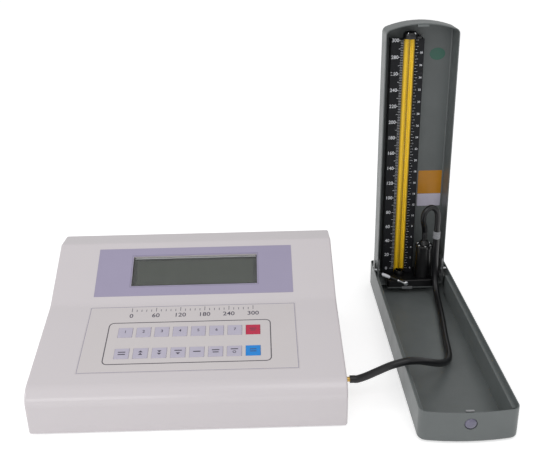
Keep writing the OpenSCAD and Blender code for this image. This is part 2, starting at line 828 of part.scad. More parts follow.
// A block of the outline in the XZ plane, from y = low to y = high
module upright(points, low, high) {
  translate([0, high, 0]) rotate([90, 0, 0]) linear_extrude(high - low) polygon(points);
}

module case_lid() {
  color("gray") in_column() difference() {
    upright(rounded(lid_points, lid_rounds), lid_front, lid_back);
    upright(rounded(inset(lid_points, lid_wall), shrunk(lid_rounds, lid_wall)),
      lid_front - cut, lid_inner_back);
    translate([0, hinge_y, hinge_z]) rod_x(pin_r + pin_gap, -tray_w, tray_w);
  }
}

module hinge_pins() {
  color("silver") in_column() translate([0, hinge_y, hinge_z]) {
    rod_x(pin_r, pin_reach, tray_w / 2);
    rod_x(pin_r, -tray_w / 2, -pin_reach);
  }
}

module hinge_plates() {
  color("darkgray") in_column() difference() {
    for (s = [-1, 1]) translate([s * (lid_w / 2 - lid_wall - plate_t / 2 - touch), 0, 0])
      span_box([-plate_t / 2, lid_front + 0.2, hinge_z - plate_h / 2],
        [plate_t / 2, lid_front + plate_d, hinge_z + plate_h / 2]);
    translate([0, hinge_y, hinge_z]) rod_x(pin_r + pin_gap, -tray_w, tray_w);
  }
}

// Catch at the tray's front
module catch_button() {
  color("lightslategray") in_column() translate([0, 0, button_z]) {
    rod_y(button_r, -button_proud, button_len - button_proud);
    rod_y(button_r + 1.5, sheet_t + 0.3, flange_back);
  }
}

module catch_hook() {
  color("silver") in_column() {
    span_box([-hook_w / 2, hook_back, hook_foot], [hook_w / 2, hook_back + hook_t, hook_top]);
    span_box([-hook_w / 2, shut_face - hook_nose, hook_top - 1.5], [hook_w / 2, hook_back + eps, hook_top]);
    span_box([-hook_w / 2, flange_back + touch, button_z - 2.5],
      [hook_w / 2, hook_back + eps, button_z + 2.5]);
  }
}

module catch_plate() {
  w = catch_plate_size[0];
  low = catch_plate_top - catch_plate_size[2];
  color("silver") in_column() difference() {
    span_box([-w / 2, catch_plate_y, low], [w / 2, catch_plate_y + catch_plate_size[1], catch_plate_top]);
    span_box([-w / 2 + 2, slot_y, low - cut], [w / 2 - 2, slot_y + slot_h, low + slot_deep]);
  }
}

// Scale and tube
module scale_channel() {
  color("dimgray") in_column() difference() {
    span_box([scale_left, channel_face, scale_low], [scale_right, lid_inner_back - touch, scale_top]);
    span_box([scale_left + channel_t, channel_face + channel_t, scale_low - cut],
      [scale_right - channel_t, lid_back, scale_top + cut]);
  }
}

module scale_plates() {
  half = strip_w / 2 + strip_side;
  color("black") in_column() {
    span_box([scale_left, scale_face, scale_low], [tube_x - half, channel_face - eps, scale_top]);
    span_box([tube_x + half, scale_face, scale_low], [scale_right, channel_face - eps, scale_top]);
  }
}

module tube_strip() {
  color("gold") in_column()
    span_box([tube_x - strip_w / 2, channel_face - strip_t, scale_low],
      [tube_x + strip_w / 2, channel_face - eps, scale_top]);
}

module glass_tube() {
  low = block_top - tube_seat + touch;
  high = cap_low + 4;
  color("white", 0.35) in_column() translate([tube_x, tube_y, 0]) difference() {
    translate([0, 0, low]) cylinder(h = high - low, r = tube_r);
    translate([0, 0, low - cut]) cylinder(h = high - low + 2 * cut, r = bore_r);
  }
}

module tube_cap() {
  dome_r2 = cap_r + 2;
  color("black") in_column() translate([tube_x, tube_y, cap_low]) difference() {
    union() {
      cylinder(h = cap_h - 3, r = cap_r);
      intersection() {
        translate([0, 0, cap_h - dome_r2]) sphere(r = dome_r2);
        cylinder(h = 2 * cap_h, r = cap_r);
      }
      span_box([0, 0, 0], [13, channel_face - tube_y + 1, 2.5]);
      span_box([-5, 0, 0], [13, lid_inner_back - tube_y - touch, 2.5]);
    }
    translate([0, 0, -cut]) cylinder(h = 4 + 0.2 + cut, r = tube_r + seat_gap);
  }
}

module column_screws() {
  color("silver") in_column() {
    for (z = [scale_low + 40, scale_top - 40])
      translate([scale_right - 2.6, 0, z]) rod_y(1.6, scale_face - 0.8, scale_face - eps);
    for (z = [scale_low + 40, scale_top - 40])
      translate([scale_left + 2.6, 0, z]) rod_y(1.6, scale_face - 0.8, scale_face - eps);
    translate([tube_x + 11, tube_y + 3, cap_low + 2.5]) cylinder(h = 1.6, r = 2);
  }
}

// Valve block and lever
module valve_block() {
  corner_r = 4;
  color("black") in_column() difference() {
    translate([0, 0, block_low]) linear_extrude(block_top - block_low)
      polygon(rounded([[block_left, block_front], [block_right, block_front],
        [block_right, lid_inner_back - touch],
        [block_left, lid_inner_back - touch]], [corner_r, corner_r, 0, 0]));
    translate([tube_x, tube_y, block_top - tube_seat]) cylinder(h = tube_seat + cut, r = tube_r + seat_gap);
    translate([lever_x, 0, lever_z]) rod_y(stem_hole, block_front - cut, block_front + stem_in + 0.2);
  }
}

module valve_lever() {
  color("silver") in_column() translate([lever_x, block_front, lever_z]) {
    rod_y(stem_r, -lever_stand - lever_t, stem_in);
    rotate([0, -lever_angle, 0]) {
      span_box([0, -lever_stand - lever_t, -1.6], [lever_len - grip_len, -lever_stand, 1.6]);
      span_box([lever_len - grip_len - eps, -lever_stand - lever_t - 0.8, -2.2],
        [lever_len, -lever_stand + 0.4, 2.2]);
    }
  }
}

module at_reservoir() { translate([reservoir_x, reservoir_y, 0]) children(); }

module reservoir() {
  color("black") in_column() at_reservoir() difference() {
    translate([0, 0, reservoir_low]) rotate_extrude() polygon([[0, 0], [reservoir_r, 0], [reservoir_r, 6],
      [reservoir_top_r, reservoir_h], [0, reservoir_h]]);
    translate([0, 0, reservoir_low + reservoir_floor])
      cylinder(h = reservoir_h, r = reservoir_top_r - reservoir_wall);
  }
}

module mercury() {
  color("lightgray") in_column() at_reservoir() translate([0, 0, reservoir_low + reservoir_floor])
    cylinder(h = mercury_h, r = reservoir_top_r - reservoir_wall);
}

module reservoir_cap() {
  color("black") in_column() at_reservoir() translate([0, 0, reservoir_high]) {
    cylinder(h = cap_t, r = reservoir_top_r + cap_over);
    translate([0, 0, cap_t - eps]) cylinder(h = dome_top + eps, r1 = 5.5, r2 = 4.2);
    translate([0, 0, cap_t]) cylinder(h = dome_top + nipple_h, r = nipple_r);
  }
}

module cap_screws() {
  color("silver") in_column() at_reservoir() for (i = [0:cap_screw_count - 1])
    rotate([0, 0, 360 * i / cap_screw_count + 30]) translate([screw_circle, 0, reservoir_high + cap_t])
      cylinder(h = cap_screw_t, r = cap_screw_r, $fn = 24);
}

// Hoses
module column_hose() { color("black") in_column() swept_tube(column_route, hose_d / 2 - 0.5); }
module air_hose() { color("black") in_column() swept_tube(hose_route, hose_d / 2); }

module hose_coupling() {
  color("lightgray") in_column() translate(coupling_at) cylinder(h = coupling_h, r = coupling_r);
}

console_cover();
console_base();
rear_panel();
display_panel();
display_window();
display_module();
keypad_sheet();
keypad_circuit();
key_1();
key_2();
key_3();
key_4();
key_5();
key_6();
key_7();
key_red();
key_set();
key_up();
key_down();
key_step();
key_hold();
key_zero();
key_vent();
key_blue();
main_board();
pressure_sensor();
air_pump();
deflate_valve();
air_tank();
inner_tubes();
transformer();
mains_inlet();
power_switch();
power_rocker();
air_port();
console_feet();
base_screws();
case_tray();
tray_feet();
case_lid();
hinge_pins();
hinge_plates();
catch_button();
catch_hook();
catch_plate();
scale_channel();
scale_plates();
tube_strip();
glass_tube();
tube_cap();
column_screws();
valve_block();
valve_lever();
reservoir();
reservoir_cap();
cap_screws();
mercury();
column_hose();
hose_coupling();
air_hose();
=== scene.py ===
from contextlib import contextmanager
from math import acos, asin, atan2, cos, pi, radians, sin, sqrt, tan

import bmesh
import bpy
from bpy.props import FloatProperty, FloatVectorProperty, IntProperty, PointerProperty
from mathutils import Matrix, Vector


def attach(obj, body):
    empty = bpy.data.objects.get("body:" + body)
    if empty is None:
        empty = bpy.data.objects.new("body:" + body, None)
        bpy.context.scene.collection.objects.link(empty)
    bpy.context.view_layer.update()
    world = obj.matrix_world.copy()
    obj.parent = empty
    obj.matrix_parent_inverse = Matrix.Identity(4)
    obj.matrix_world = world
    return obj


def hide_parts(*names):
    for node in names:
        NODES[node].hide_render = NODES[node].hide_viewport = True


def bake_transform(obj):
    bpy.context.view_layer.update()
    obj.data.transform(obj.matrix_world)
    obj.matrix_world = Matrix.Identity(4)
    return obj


bl_info = {
    "name": "Gauge Calibrator with Mercury Column",
    "version": (1, 0, 0),
    "blender": (4, 5, 0),
    "location": "3D View > Sidebar > Calibrator",
    "description": "Dresses the packed console and mercury column with finished pieces and materials",
    "category": "Object",
}

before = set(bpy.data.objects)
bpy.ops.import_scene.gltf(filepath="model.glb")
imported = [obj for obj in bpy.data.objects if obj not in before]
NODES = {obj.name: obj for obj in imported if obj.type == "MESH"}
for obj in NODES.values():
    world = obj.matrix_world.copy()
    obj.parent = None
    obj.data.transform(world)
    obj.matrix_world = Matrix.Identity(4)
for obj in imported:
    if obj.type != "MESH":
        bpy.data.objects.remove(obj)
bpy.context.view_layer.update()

# The two places that the CAD model is measured from: the middle of the console's front edge, and the
# middle of the tray's front edge. Everything below is modelled in millimetres round them.
CONSOLE_FRONT = (-0.080, -0.14245, 0)
TRAY_FRONT = (0.188, -0.17175, 0)
CONSOLE = Matrix.Translation(CONSOLE_FRONT) @ Matrix.Scale(0.001, 4)
COLUMN = Matrix.Translation(TRAY_FRONT) @ Matrix.Scale(0.001, 4)

# Console: the crease between its two sloping faces, and the frames of those faces
CREASE_Y, CREASE_Z = 128, 75.6
KEYPAD_SLOPE = radians(12.6)
DISPLAY_SLOPE = radians(27.7)
CREASE = Matrix.Translation((0, CREASE_Y, CREASE_Z))
ON_KEYPAD = CREASE @ Matrix.Rotation(KEYPAD_SLOPE, 4, "X")
ON_DISPLAY = CREASE @ Matrix.Rotation(DISPLAY_SLOPE, 4, "X")


def linear(code):
    """The linear colour of an sRGB hex value."""
    parts = [int(code[i:i + 2], 16) / 255 for i in (1, 3, 5)]
    return tuple(c / 12.92 if c <= 0.04045 else ((c + 0.055) / 1.055) ** 2.4 for c in parts)


# Settings

def colour_of(name, description, code):
    return FloatVectorProperty(name=name, description=description, subtype="COLOR", size=3,
                               default=linear(code))


def length_of(name, description, default, low, high):
    return FloatProperty(name=name, description=description, unit="LENGTH", default=default,
                         min=low, max=high)


def power_of(name, description, default):
    return FloatProperty(name=name, description=description, subtype="POWER", unit="POWER",
                         default=default, min=0)


class ConsoleSettings(bpy.types.PropertyGroup):
    cover_colour: colour_of("Cover", "Colour of the moulded cover", "#d9d3d6")
    panel_colour: colour_of("Display panel", "Colour of the tinted display panel", "#a69fb9")
    sheet_colour: colour_of("Keypad sheet", "Colour of the keypad sheet", "#d6d0d1")
    key_colour: colour_of("Keys", "Colour of the plain keys", "#c1bccd")
    red_colour: colour_of("Red key", "Colour of the red key", "#c5284c")
    blue_colour: colour_of("Blue key", "Colour of the blue key", "#1c8be0")
    side_round: length_of("Side edge radius", "Rounding of the cover's side edges", 0.0022, 0.0005, 0.005)
    key_rise: length_of("Key rise", "Height of a key's crown above the sheet", 0.0006, 0.0002, 0.0015)


class CaseSettings(bpy.types.PropertyGroup):
    paint_colour: colour_of("Case paint", "Colour of the painted tray and lid", "#686d6d")
    strip_colour: colour_of("Tube strip", "Colour of the strip behind the tube", "#f6c91c")
    edge_round: length_of("Pressed edge radius", "Rounding of the tray's and lid's closed edges",
                          0.0028, 0.001, 0.006)
    mark_step: length_of("Scale step", "Height of one millimetre of mercury on the scale",
                         0.000985, 0.0009, 0.001)
    hose_sides: IntProperty(name="Hose sides", description="Faces round a hose", default=20, min=8, max=32)


class StageSettings(bpy.types.PropertyGroup):
    key_power: power_of("Key light", "Power of the large light", 3.6)
    front_power: power_of("Front light", "Power of the light beside the camera", 1.4)
    left_power: power_of("Left light", "Power of the low light on the left", 4.2)
    focal_length: FloatProperty(name="Focal length", description="Camera lens in millimetres",
                                default=52.55, min=20, max=120)


# Modelling helpers

def only(obj):
    bpy.ops.object.select_all(action="DESELECT")
    obj.select_set(True)
    bpy.context.view_layer.objects.active = obj


def named(name):
    obj = bpy.context.object
    obj.name = name
    obj.data.name = name
    return obj


@contextmanager
def editing(obj):
    only(obj)
    bpy.ops.object.mode_set(mode="EDIT")
    yield
    bpy.ops.object.mode_set(mode="OBJECT")


def choose(obj, kind, test):
    """In edit mode, selects the vertices, edges or faces that pass the test."""
    bpy.ops.mesh.select_mode(type=kind)
    bpy.ops.mesh.select_all(action="DESELECT")
    mesh = bmesh.from_edit_mesh(obj.data)
    for item in {"VERT": mesh.verts, "EDGE": mesh.edges, "FACE": mesh.faces}[kind]:
        if test(item):
            item.select_set(True)
    mesh.select_flush_mode()
    bmesh.update_edit_mesh(obj.data)


def modify(obj, kind, **settings):
    modifier = obj.modifiers.new(kind, kind)
    for key, value in settings.items():
        setattr(modifier, key, value)
    only(obj)
    bpy.ops.object.modifier_apply(modifier=modifier.name)
    return obj


def eased(obj, width, segments=2, sharper_than=50):
    """Takes the edge off the corners that are sharper than an angle in degrees."""
    return modify(obj, "BEVEL", width=width, segments=segments, limit_method="ANGLE",
                  angle_limit=radians(sharper_than))


def move(obj, matrix):
    obj.matrix_world = matrix @ obj.matrix_world
    only(obj)
    bpy.ops.object.transform_apply(location=True, rotation=True, scale=True)
    return obj


def join(name, *objects):
    """Makes one piece of several and names it."""
    only(objects[0])
    for obj in objects[1:]:
        obj.select_set(True)
    if objects[1:]:
        bpy.ops.object.join()
    objects[0].name = name
    return objects[0]


def carve(obj, *cutters):
    for cutter in cutters:
        modify(obj, "BOOLEAN", operation="DIFFERENCE", object=cutter, solver="EXACT")
        bpy.data.objects.remove(cutter)
    return obj


def tidy(obj):
    """Merges doubled points and turns every face outwards."""
    with editing(obj):
        bpy.ops.mesh.select_all(action="SELECT")
        bpy.ops.mesh.remove_doubles(threshold=0.0005)
        bpy.ops.mesh.normals_make_consistent(inside=False)
    return obj


def block(name, low, high, bevel=0.0, segments=2):
    """A box between two corners, with its edges rounded."""
    low, high = Vector(low), Vector(high)
    bpy.ops.object.select_all(action="DESELECT")
    bpy.ops.mesh.primitive_cube_add(size=1, location=(low + high) / 2, scale=high - low)
    obj = move(named(name), Matrix.Identity(4))
    if bevel:
        modify(obj, "BEVEL", width=bevel, segments=segments, limit_method="ANGLE")
    return obj


def slab(name, w, h, low, high, bevel=0.0):
    """A box centred on its frame, between two heights."""
    return block(name, (-w / 2, -h / 2, low), (w / 2, h / 2, high), bevel)


PLANES = {
    "YZ": lambda a, b, t: (t, a, b),
    "XZ": lambda a, b, t: (a, t, b),
    "XY": lambda a, b, t: (a, b, t),
}


def outline_block(name, points, low, high, plane="YZ"):
    """A closed outline in a plane, extruded along the axis square to it."""
    put = PLANES[plane]
    bpy.ops.object.select_all(action="DESELECT")
    bpy.ops.mesh.primitive_circle_add(vertices=len(points), radius=1, fill_type="NGON")
    obj = named(name)
    for vertex, (a, b) in zip(obj.data.vertices, points):
        vertex.co = put(a, b, low)
    with editing(obj):
        bpy.ops.mesh.select_all(action="SELECT")
        bpy.ops.mesh.extrude_region_move(TRANSFORM_OT_translate={"value": put(0, 0, high - low)})
        bpy.ops.mesh.select_all(action="SELECT")
        bpy.ops.mesh.normals_make_consistent(inside=False)
    return obj


def lathe(name, profile, at=(0, 0, 0), axis="Z", steps=40):
    """A turned piece: (radius, height) points carried round an axis through a place."""
    bpy.ops.object.select_all(action="DESELECT")
    bpy.ops.mesh.primitive_circle_add(vertices=len(profile), radius=1, fill_type="NOTHING")
    obj = named(name)
    for vertex, (r, h) in zip(obj.data.vertices, profile):
        vertex.co = (r, 0, h)
    last = len(profile) - 1
    if profile[0][0] < 0.001 and profile[last][0] < 0.001:
        with editing(obj):
            choose(obj, "EDGE", lambda e: {v.index for v in e.verts} == {0, last})
            bpy.ops.mesh.delete(type="EDGE")
    modify(obj, "SCREW", axis="Z", angle=2 * pi, steps=steps, render_steps=steps,
           use_merge_vertices=True, merge_threshold=0.001)
    turn = {"Z": Matrix.Identity(4), "Y": Matrix.Rotation(-pi / 2, 4, "X"),
            "X": Matrix.Rotation(pi / 2, 4, "Y")}[axis]
    return tidy(move(obj, Matrix.Translation(at) @ turn))


def bar_of(name, r, low, high, at, axis, steps):
    """A plain round bar, which drills the hole of its size."""
    return lathe(name, [(0, low), (r, low), (r, high), (0, high)], at, axis, steps)


def words(body, size, place):
    """Plain figures as a thin mesh that faces +Z before it is placed."""
    thick, weight = 0.04, 0.012
    bpy.ops.object.select_all(action="DESELECT")
    bpy.ops.object.text_add()
    obj = bpy.context.object
    obj.data.body = body
    obj.data.size = size
    obj.data.extrude = thick / 2
    obj.data.resolution_u = 3
    obj.data.offset = size * weight
    obj.data.align_x = "CENTER"
    obj.data.align_y = "CENTER"
    bpy.ops.object.convert(target="MESH")
    return move(tidy(named("figure")), place)


def finish(obj, place, smooth=35):
    """Puts a piece that was modelled in millimetres in its place and smooths its rounded faces."""
    move(obj, place)
    only(obj)
    bpy.ops.object.shade_smooth_by_angle(angle=radians(smooth))
    return modify(obj, "WEIGHTED_NORMAL", keep_sharp=True)


def fit(obj, body, slot, finish_material, *replaced):
    """Gives a piece its material, the body that it moves with and the CAD nodes that it stands for."""
    obj.data.materials.clear()
    obj.data.materials.append(finish_material)
    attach(obj, body)
    if replaced:
        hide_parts(*replaced)
    return obj


def unit(v):
    length = sqrt(v[0] ** 2 + v[1] ** 2)
    return (v[0] / length, v[1] / length)


def corners(left, right, low, high):
    """The corners of a rectangle, anticlockwise from the lower left."""
    return [(left, low), (right, low), (right, high), (left, high)]


def rounded(points, radii, steps=10):
    """The outline with its corners turned into arcs."""
    out = []
    n = len(points)
    for i, (b, r) in enumerate(zip(points, radii)):
        if r <= 0:
            out.append(b)
            continue
        a, c = points[i - 1], points[(i + 1) % n]
        u = unit((a[0] - b[0], a[1] - b[1]))
        w = unit((c[0] - b[0], c[1] - b[1]))
        half = acos(max(-1, min(1, u[0] * w[0] + u[1] * w[1]))) / 2
        inward = unit((u[0] + w[0], u[1] + w[1]))
        middle = (b[0] + inward[0] * r / sin(half), b[1] + inward[1] * r / sin(half))
        reach = r / tan(half)
        start, stop = [atan2(b[1] + side[1] * reach - middle[1], b[0] + side[0] * reach - middle[0])
                       for side in (u, w)]
        sweep = (stop - start + pi) % (2 * pi) - pi
        angles = [start + sweep * k / steps for k in range(steps + 1)]
        out += [(middle[0] + r * cos(angle), middle[1] + r * sin(angle)) for angle in angles]
    return out


def inset(points, d):
    """The outline drawn in by d, for points that run anticlockwise."""
    out = []
    n = len(points)
    for i, b in enumerate(points):
        a, c = points[i - 1], points[(i + 1) % n]
        e = unit((b[0] - a[0], b[1] - a[1]))
        g = unit((c[0] - b[0], c[1] - b[1]))
        p, q = (-e[1], e[0]), (-g[1], g[0])
        k = d / (1 + p[0] * q[0] + p[1] * q[1])
        out.append((b[0] + k * (p[0] + q[0]), b[1] + k * (p[1] + q[1])))
    return out


def bowed(half, rise, steps):
    """A shallow arc from +half to -half."""
    r = (half * half + rise * rise) / (2 * rise)
    reach = asin(half / r)
    angles = [reach - 2 * reach * i / steps for i in range(steps + 1)]
    return [(r * sin(a), r * cos(a) - r + rise) for a in angles]


# Heights of the lower and the upper side of ink on a flat face
PRINT = (0.05, 0.09)


def ribbon(name, points, width):
    """A printed line of even width along a closed outline."""
    low, high = PRINT
    line = outline_block(name, inset(points, -width / 2), low, high, "XY")
    return carve(line, outline_block("cut", inset(points, width / 2), low - 1, high + 1, "XY"))


# Materials

def add(tree, kind, links=None, **settings):
    """Adds one node with its settings, its values and its links."""
    node = tree.nodes.new(kind)
    for key, value in settings.items():
        setattr(node, key, value)
    for socket, value in (links or {}).items():
        if isinstance(value, bpy.types.NodeSocket):
            tree.links.new(value, node.inputs[socket])
        else:
            node.inputs[socket].default_value = value
    return node


def material(name, colour, roughness, **sockets):
    """A material with one shader, whose even values are set on the shader's own sockets."""
    made = bpy.data.materials.new(name)
    made.use_nodes = True
    tree = made.node_tree
    shader = tree.nodes["Principled BSDF"]
    shader.inputs["Base Color"].default_value = (*colour, 1)
    shader.inputs["Roughness"].default_value = roughness
    for socket, value in sockets.items():
        shader.inputs[socket.replace("_", " ")].default_value = value
    return made, tree, shader


def noise_of(tree, size_mm, detail, stretch=None):
    """Noise on object coordinates, its patches size_mm wide."""
    place = add(tree, "ShaderNodeTexCoord").outputs["Object"]
    if stretch:
        place = add(tree, "ShaderNodeMapping", {"Vector": place, "Scale": stretch}).outputs["Vector"]
    return add(tree, "ShaderNodeTexNoise", {"Vector": place, "Scale": 1000 / size_mm, "Detail": detail})


def mix_of(tree, factor, first, second):
    """A colour between two colours; the sixth and seventh sockets of a mix are its colours."""
    return add(tree, "ShaderNodeMix", {"Factor": factor, 6: (*first, 1), 7: (*second, 1)}, data_type="RGBA")


def mottled(tree, shader, colour, spread, size_mm, detail=3.0):
    """Slow uneven shade round the colour."""
    noise = noise_of(tree, size_mm, detail)
    dark = [c * (1 - spread) for c in colour]
    bright = [min(1, c * (1 + spread)) for c in colour]
    ramp = mix_of(tree, noise.outputs["Fac"], dark, bright)
    tree.links.new(ramp.outputs[2], shader.inputs["Base Color"])


def grained(tree, shader, size_mm, depth_mm, stretch=(1, 1, 1)):
    """Fine relief, its grains size_mm wide and depth_mm deep."""
    noise = noise_of(tree, size_mm, 2.0, stretch)
    bump = add(tree, "ShaderNodeBump", {"Height": noise.outputs["Fac"], "Distance": depth_mm / 1000,
                                        "Strength": 1.0})
    tree.links.new(bump.outputs["Normal"], shader.inputs["Normal"])


def worn_gloss(tree, shader, low, high, size_mm):
    """Roughness that wanders between two values, as handling leaves it."""
    noise = noise_of(tree, size_mm, 4.0)
    span = add(tree, "ShaderNodeMapRange", {"Value": noise.outputs["Fac"], "To Min": low, "To Max": high})
    tree.links.new(span.outputs["Result"], shader.inputs["Roughness"])


LOOKS = {}


def look(name):
    return LOOKS[name]


def make_look(name, title, colour, roughness, shade=None, gloss=None, grain=None, **sockets):
    """Keeps one look, with uneven shade, wandering gloss and fine relief where they are given."""
    colour = linear(colour) if isinstance(colour, str) else colour
    made, tree, shader = material(title, colour, roughness, **sockets)
    if shade:
        mottled(tree, shader, colour, **shade)
    if gloss:
        worn_gloss(tree, shader, **gloss)
    if grain:
        grained(tree, shader, **grain)
    LOOKS[name] = made
    return tree, shader


def make_console_looks(console):
    # Glossy injection-moulded ABS: an even pale skin with a clear highlight and a faint orange peel
    make_look("cover", "abs moulded gloss", console.cover_colour, 0.28,
              shade=dict(spread=0.015, size_mm=60), grain=dict(size_mm=3.0, depth_mm=0.006),
              Coat_Weight=0.35, Coat_Roughness=0.12)
    # Textured polycarbonate film: an even tint with a soft sheen, its texture drawn coarse enough to show
    make_look("panel", "polycarbonate film tinted", console.panel_colour, 0.42,
              shade=dict(spread=0.03, size_mm=40), grain=dict(size_mm=0.5, depth_mm=0.01))
    # Printed polyester overlay: a velvet texture that scatters the light, drawn coarse enough to show
    make_look("sheet", "polyester overlay velvet", console.sheet_colour, 0.5,
              shade=dict(spread=0.02, size_mm=50), grain=dict(size_mm=0.4, depth_mm=0.012))
    # Embossed key pads of the same film, printed from behind: smoother than the sheet, so they shine
    for name, colour in (("key", console.key_colour), ("red_key", console.red_colour),
                         ("blue_key", console.blue_colour)):
        make_look(name, "polyester key " + name, colour, 0.38,
                  shade=dict(spread=0.04, size_mm=8), grain=dict(size_mm=0.4, depth_mm=0.012))
    # Screen-printed ink on the film, and a pale paint for the painted highlight on the display's bezel: flat
    # and dull, a little uneven where the mesh laid it
    for name, title, code, spread, size_mm in (
            ("ink", "screen ink grey", "#4c4858", 0.08, 3),
            # Pale paint for a painted highlight along the top of the display's bezel
            ("pale_highlight", "painted highlight pale", "#f0eef2", 0.03, 3),
            ("line_ink", "screen ink lilac grey", "#8d88a0", 0.05, 6),
            ("frame_ink", "screen ink dark grey", "#5f5b62", 0.06, 6)):
        make_look(name, title, code, 0.5, shade=dict(spread=spread, size_mm=size_mm))
    # Cast acrylic window: almost nothing but its reflections
    make_look("acrylic", "acrylic clear", (0.9, 0.92, 0.9), 0.03,
              gloss=dict(low=0.02, high=0.06, size_mm=25), Transmission_Weight=1.0, IOR=1.49)
    # Black moulded ABS of the bezel, inlet and switch: satin, a little worn
    make_look("black_plastic", "abs black satin", "#17171a", 0.4, shade=dict(spread=0.15, size_mm=15),
              gloss=dict(low=0.32, high=0.5, size_mm=10), grain=dict(size_mm=0.8, depth_mm=0.01))
    # Light grey moulded ABS of the rear panel: dull, with a spark-eroded texture
    make_look("grey_plastic", "abs grey textured", "#b9b7ba", 0.5,
              shade=dict(spread=0.04, size_mm=30), grain=dict(size_mm=0.9, depth_mm=0.03))
    # Red moulded ABS of the rocker: bright and glossy
    make_look("red_plastic", "abs red gloss", "#a3161b", 0.25, shade=dict(spread=0.06, size_mm=8))
    # Moulded rubber of the feet: dull, with a dusty bloom
    make_look("rubber", "rubber moulded", "#232325", 0.8,
              shade=dict(spread=0.25, size_mm=6), grain=dict(size_mm=0.7, depth_mm=0.03))
    # Turned brass of the air port: tool lines round it, slightly tarnished
    make_look("brass", "brass turned", "#c9a35a", 0.3, shade=dict(spread=0.15, size_mm=4),
              grain=dict(size_mm=0.5, depth_mm=0.006, stretch=(8, 1, 1)), Metallic=1.0)
    # Fibreglass circuit board with solder mask: a deep green that varies over its tracks
    make_look("board", "fibreglass board", "#1d5a32", 0.35, shade=dict(spread=0.35, size_mm=5))
    # Laminated iron of the transformer: dull, with the lines of its stacked sheets
    make_look("iron", "iron laminated", "#47484b", 0.6,
              grain=dict(size_mm=0.6, depth_mm=0.05, stretch=(0.05, 1, 0.05)), Metallic=0.6)
    # Extruded silicone of the inner tubes: milky, letting a little light in
    make_look("silicone", "silicone clear", "#d8cdb0", 0.35,
              shade=dict(spread=0.1, size_mm=10), Subsurface_Weight=0.3)


CELL_MM, CELL_GAP_MM = 0.8, 0.09


def make_display_look():
    """Switched-off liquid crystal glass: olive grey, with the fine grid of its electrodes."""
    tree, shader = make_look("crystal", "liquid crystal glass", "#444a40", 0.45,
                             Coat_Weight=0.1, Coat_Roughness=0.1)
    cells = add(tree, "ShaderNodeTexBrick", {
        "Vector": add(tree, "ShaderNodeTexCoord").outputs["Object"],
        "Color1": (*linear("#41463e"), 1), "Color2": (*linear("#3d423a"), 1),
        "Mortar": (*linear("#363b34"), 1), "Scale": 1000, "Mortar Size": CELL_GAP_MM,
        "Brick Width": CELL_MM, "Row Height": CELL_MM}, offset=0.0)
    tree.links.new(cells.outputs["Color"], shader.inputs["Base Color"])


def make_case_looks(case):
    # Stoved enamel on pressed sheet: satin, with orange peel, faint scuffs and uneven sheen
    make_look("paint", "enamel stoved grey", case.paint_colour, 0.42,
              shade=dict(spread=0.14, size_mm=30, detail=6.0), gloss=dict(low=0.34, high=0.55, size_mm=18),
              grain=dict(size_mm=1.0, depth_mm=0.03), Coat_Weight=0.15, Coat_Roughness=0.3)
    # Darker sprayed enamel of the scale's channel: flatter than the case
    make_look("dark_paint", "enamel dark grey", "#34373a", 0.45,
              shade=dict(spread=0.08, size_mm=20), grain=dict(size_mm=1.0, depth_mm=0.015))
    # Zinc-plated pressed steel of motors, hinges and screws: a soft grey shine in patches
    make_look("steel", "steel zinc plated", "#b9babc", 0.4, shade=dict(spread=0.1, size_mm=3),
              gloss=dict(low=0.32, high=0.52, size_mm=5), Metallic=1.0)
    # Polished chrome plate: bright, with faint handling haze
    make_look("chrome", "chrome plate", "#dcdde0", 0.08,
              gloss=dict(low=0.05, high=0.16, size_mm=6), Metallic=1.0)
    # Blackened steel of the scale's screws, worn a little bright
    make_look("black_steel", "steel blackened", "#2a2a2d", 0.4, shade=dict(spread=0.3, size_mm=1.5),
              gloss=dict(low=0.3, high=0.5, size_mm=2), Metallic=0.7)
    # Black anodised aluminium of the scale plates: dark and dry, finely brushed along its height
    make_look("scale", "aluminium anodised black", "#0c0e13", 0.62, shade=dict(spread=0.2, size_mm=12),
              grain=dict(size_mm=0.5, depth_mm=0.01, stretch=(1, 1, 0.04)), Specular_IOR_Level=0.3)
    # White enamel wiped into the engraved figures: a clean dull white
    make_look("white_fill", "enamel white filling", "#e9ebf0", 0.5, shade=dict(spread=0.06, size_mm=2))
    # Drawn glass tube: colourless, its refraction kept low so that the painted shade on the strip behind it
    # reads as two bands
    make_look("glass", "glass drawn tube", (1, 0.98, 0.9), 0.02,
              gloss=dict(low=0.01, high=0.04, size_mm=20), Transmission_Weight=1.0, IOR=1.06)
    # Black phenolic moulding of the valve block, cap and reservoir: a hard gloss, dulled in places
    make_look("phenolic", "phenolic black gloss", "#0a0a0c", 0.3, shade=dict(spread=0.3, size_mm=9),
              gloss=dict(low=0.26, high=0.42, size_mm=7), Coat_Weight=0.15, Coat_Roughness=0.1)
    # Liquid mercury: a bright mirror
    make_look("mercury", "mercury liquid", "#d4d6da", 0.03,
              gloss=dict(low=0.02, high=0.05, size_mm=5), Metallic=1.0)
    # Extruded rubber hose: black, with a soft sheen and a faintly uneven skin
    make_look("hose", "rubber hose extruded", "#101013", 0.3, shade=dict(spread=0.3, size_mm=12),
              gloss=dict(low=0.24, high=0.42, size_mm=9), grain=dict(size_mm=1.2, depth_mm=0.012))
    # Moulded nylon of the coupling: a waxy grey
    make_look("coupling", "nylon coupling grey", "#8f9094", 0.42,
              shade=dict(spread=0.08, size_mm=4), grain=dict(size_mm=0.8, depth_mm=0.012))
    # Moulded ABS of the catch button: lilac grey with a clear gloss
    make_look("button", "abs lilac grey gloss", "#706d82", 0.3,
              shade=dict(spread=0.05, size_mm=5), Coat_Weight=0.3)
    # Gloss vinyl labels, scuffed in patches
    for name, code in (("green_label", "#376a5a"), ("orange_label", "#cf8a0e"), ("lilac_label", "#d6d1e2")):
        make_look(name, "vinyl " + name.replace("_", " "), code, 0.3,
                  shade=dict(spread=0.06, size_mm=6), gloss=dict(low=0.22, high=0.45, size_mm=6))
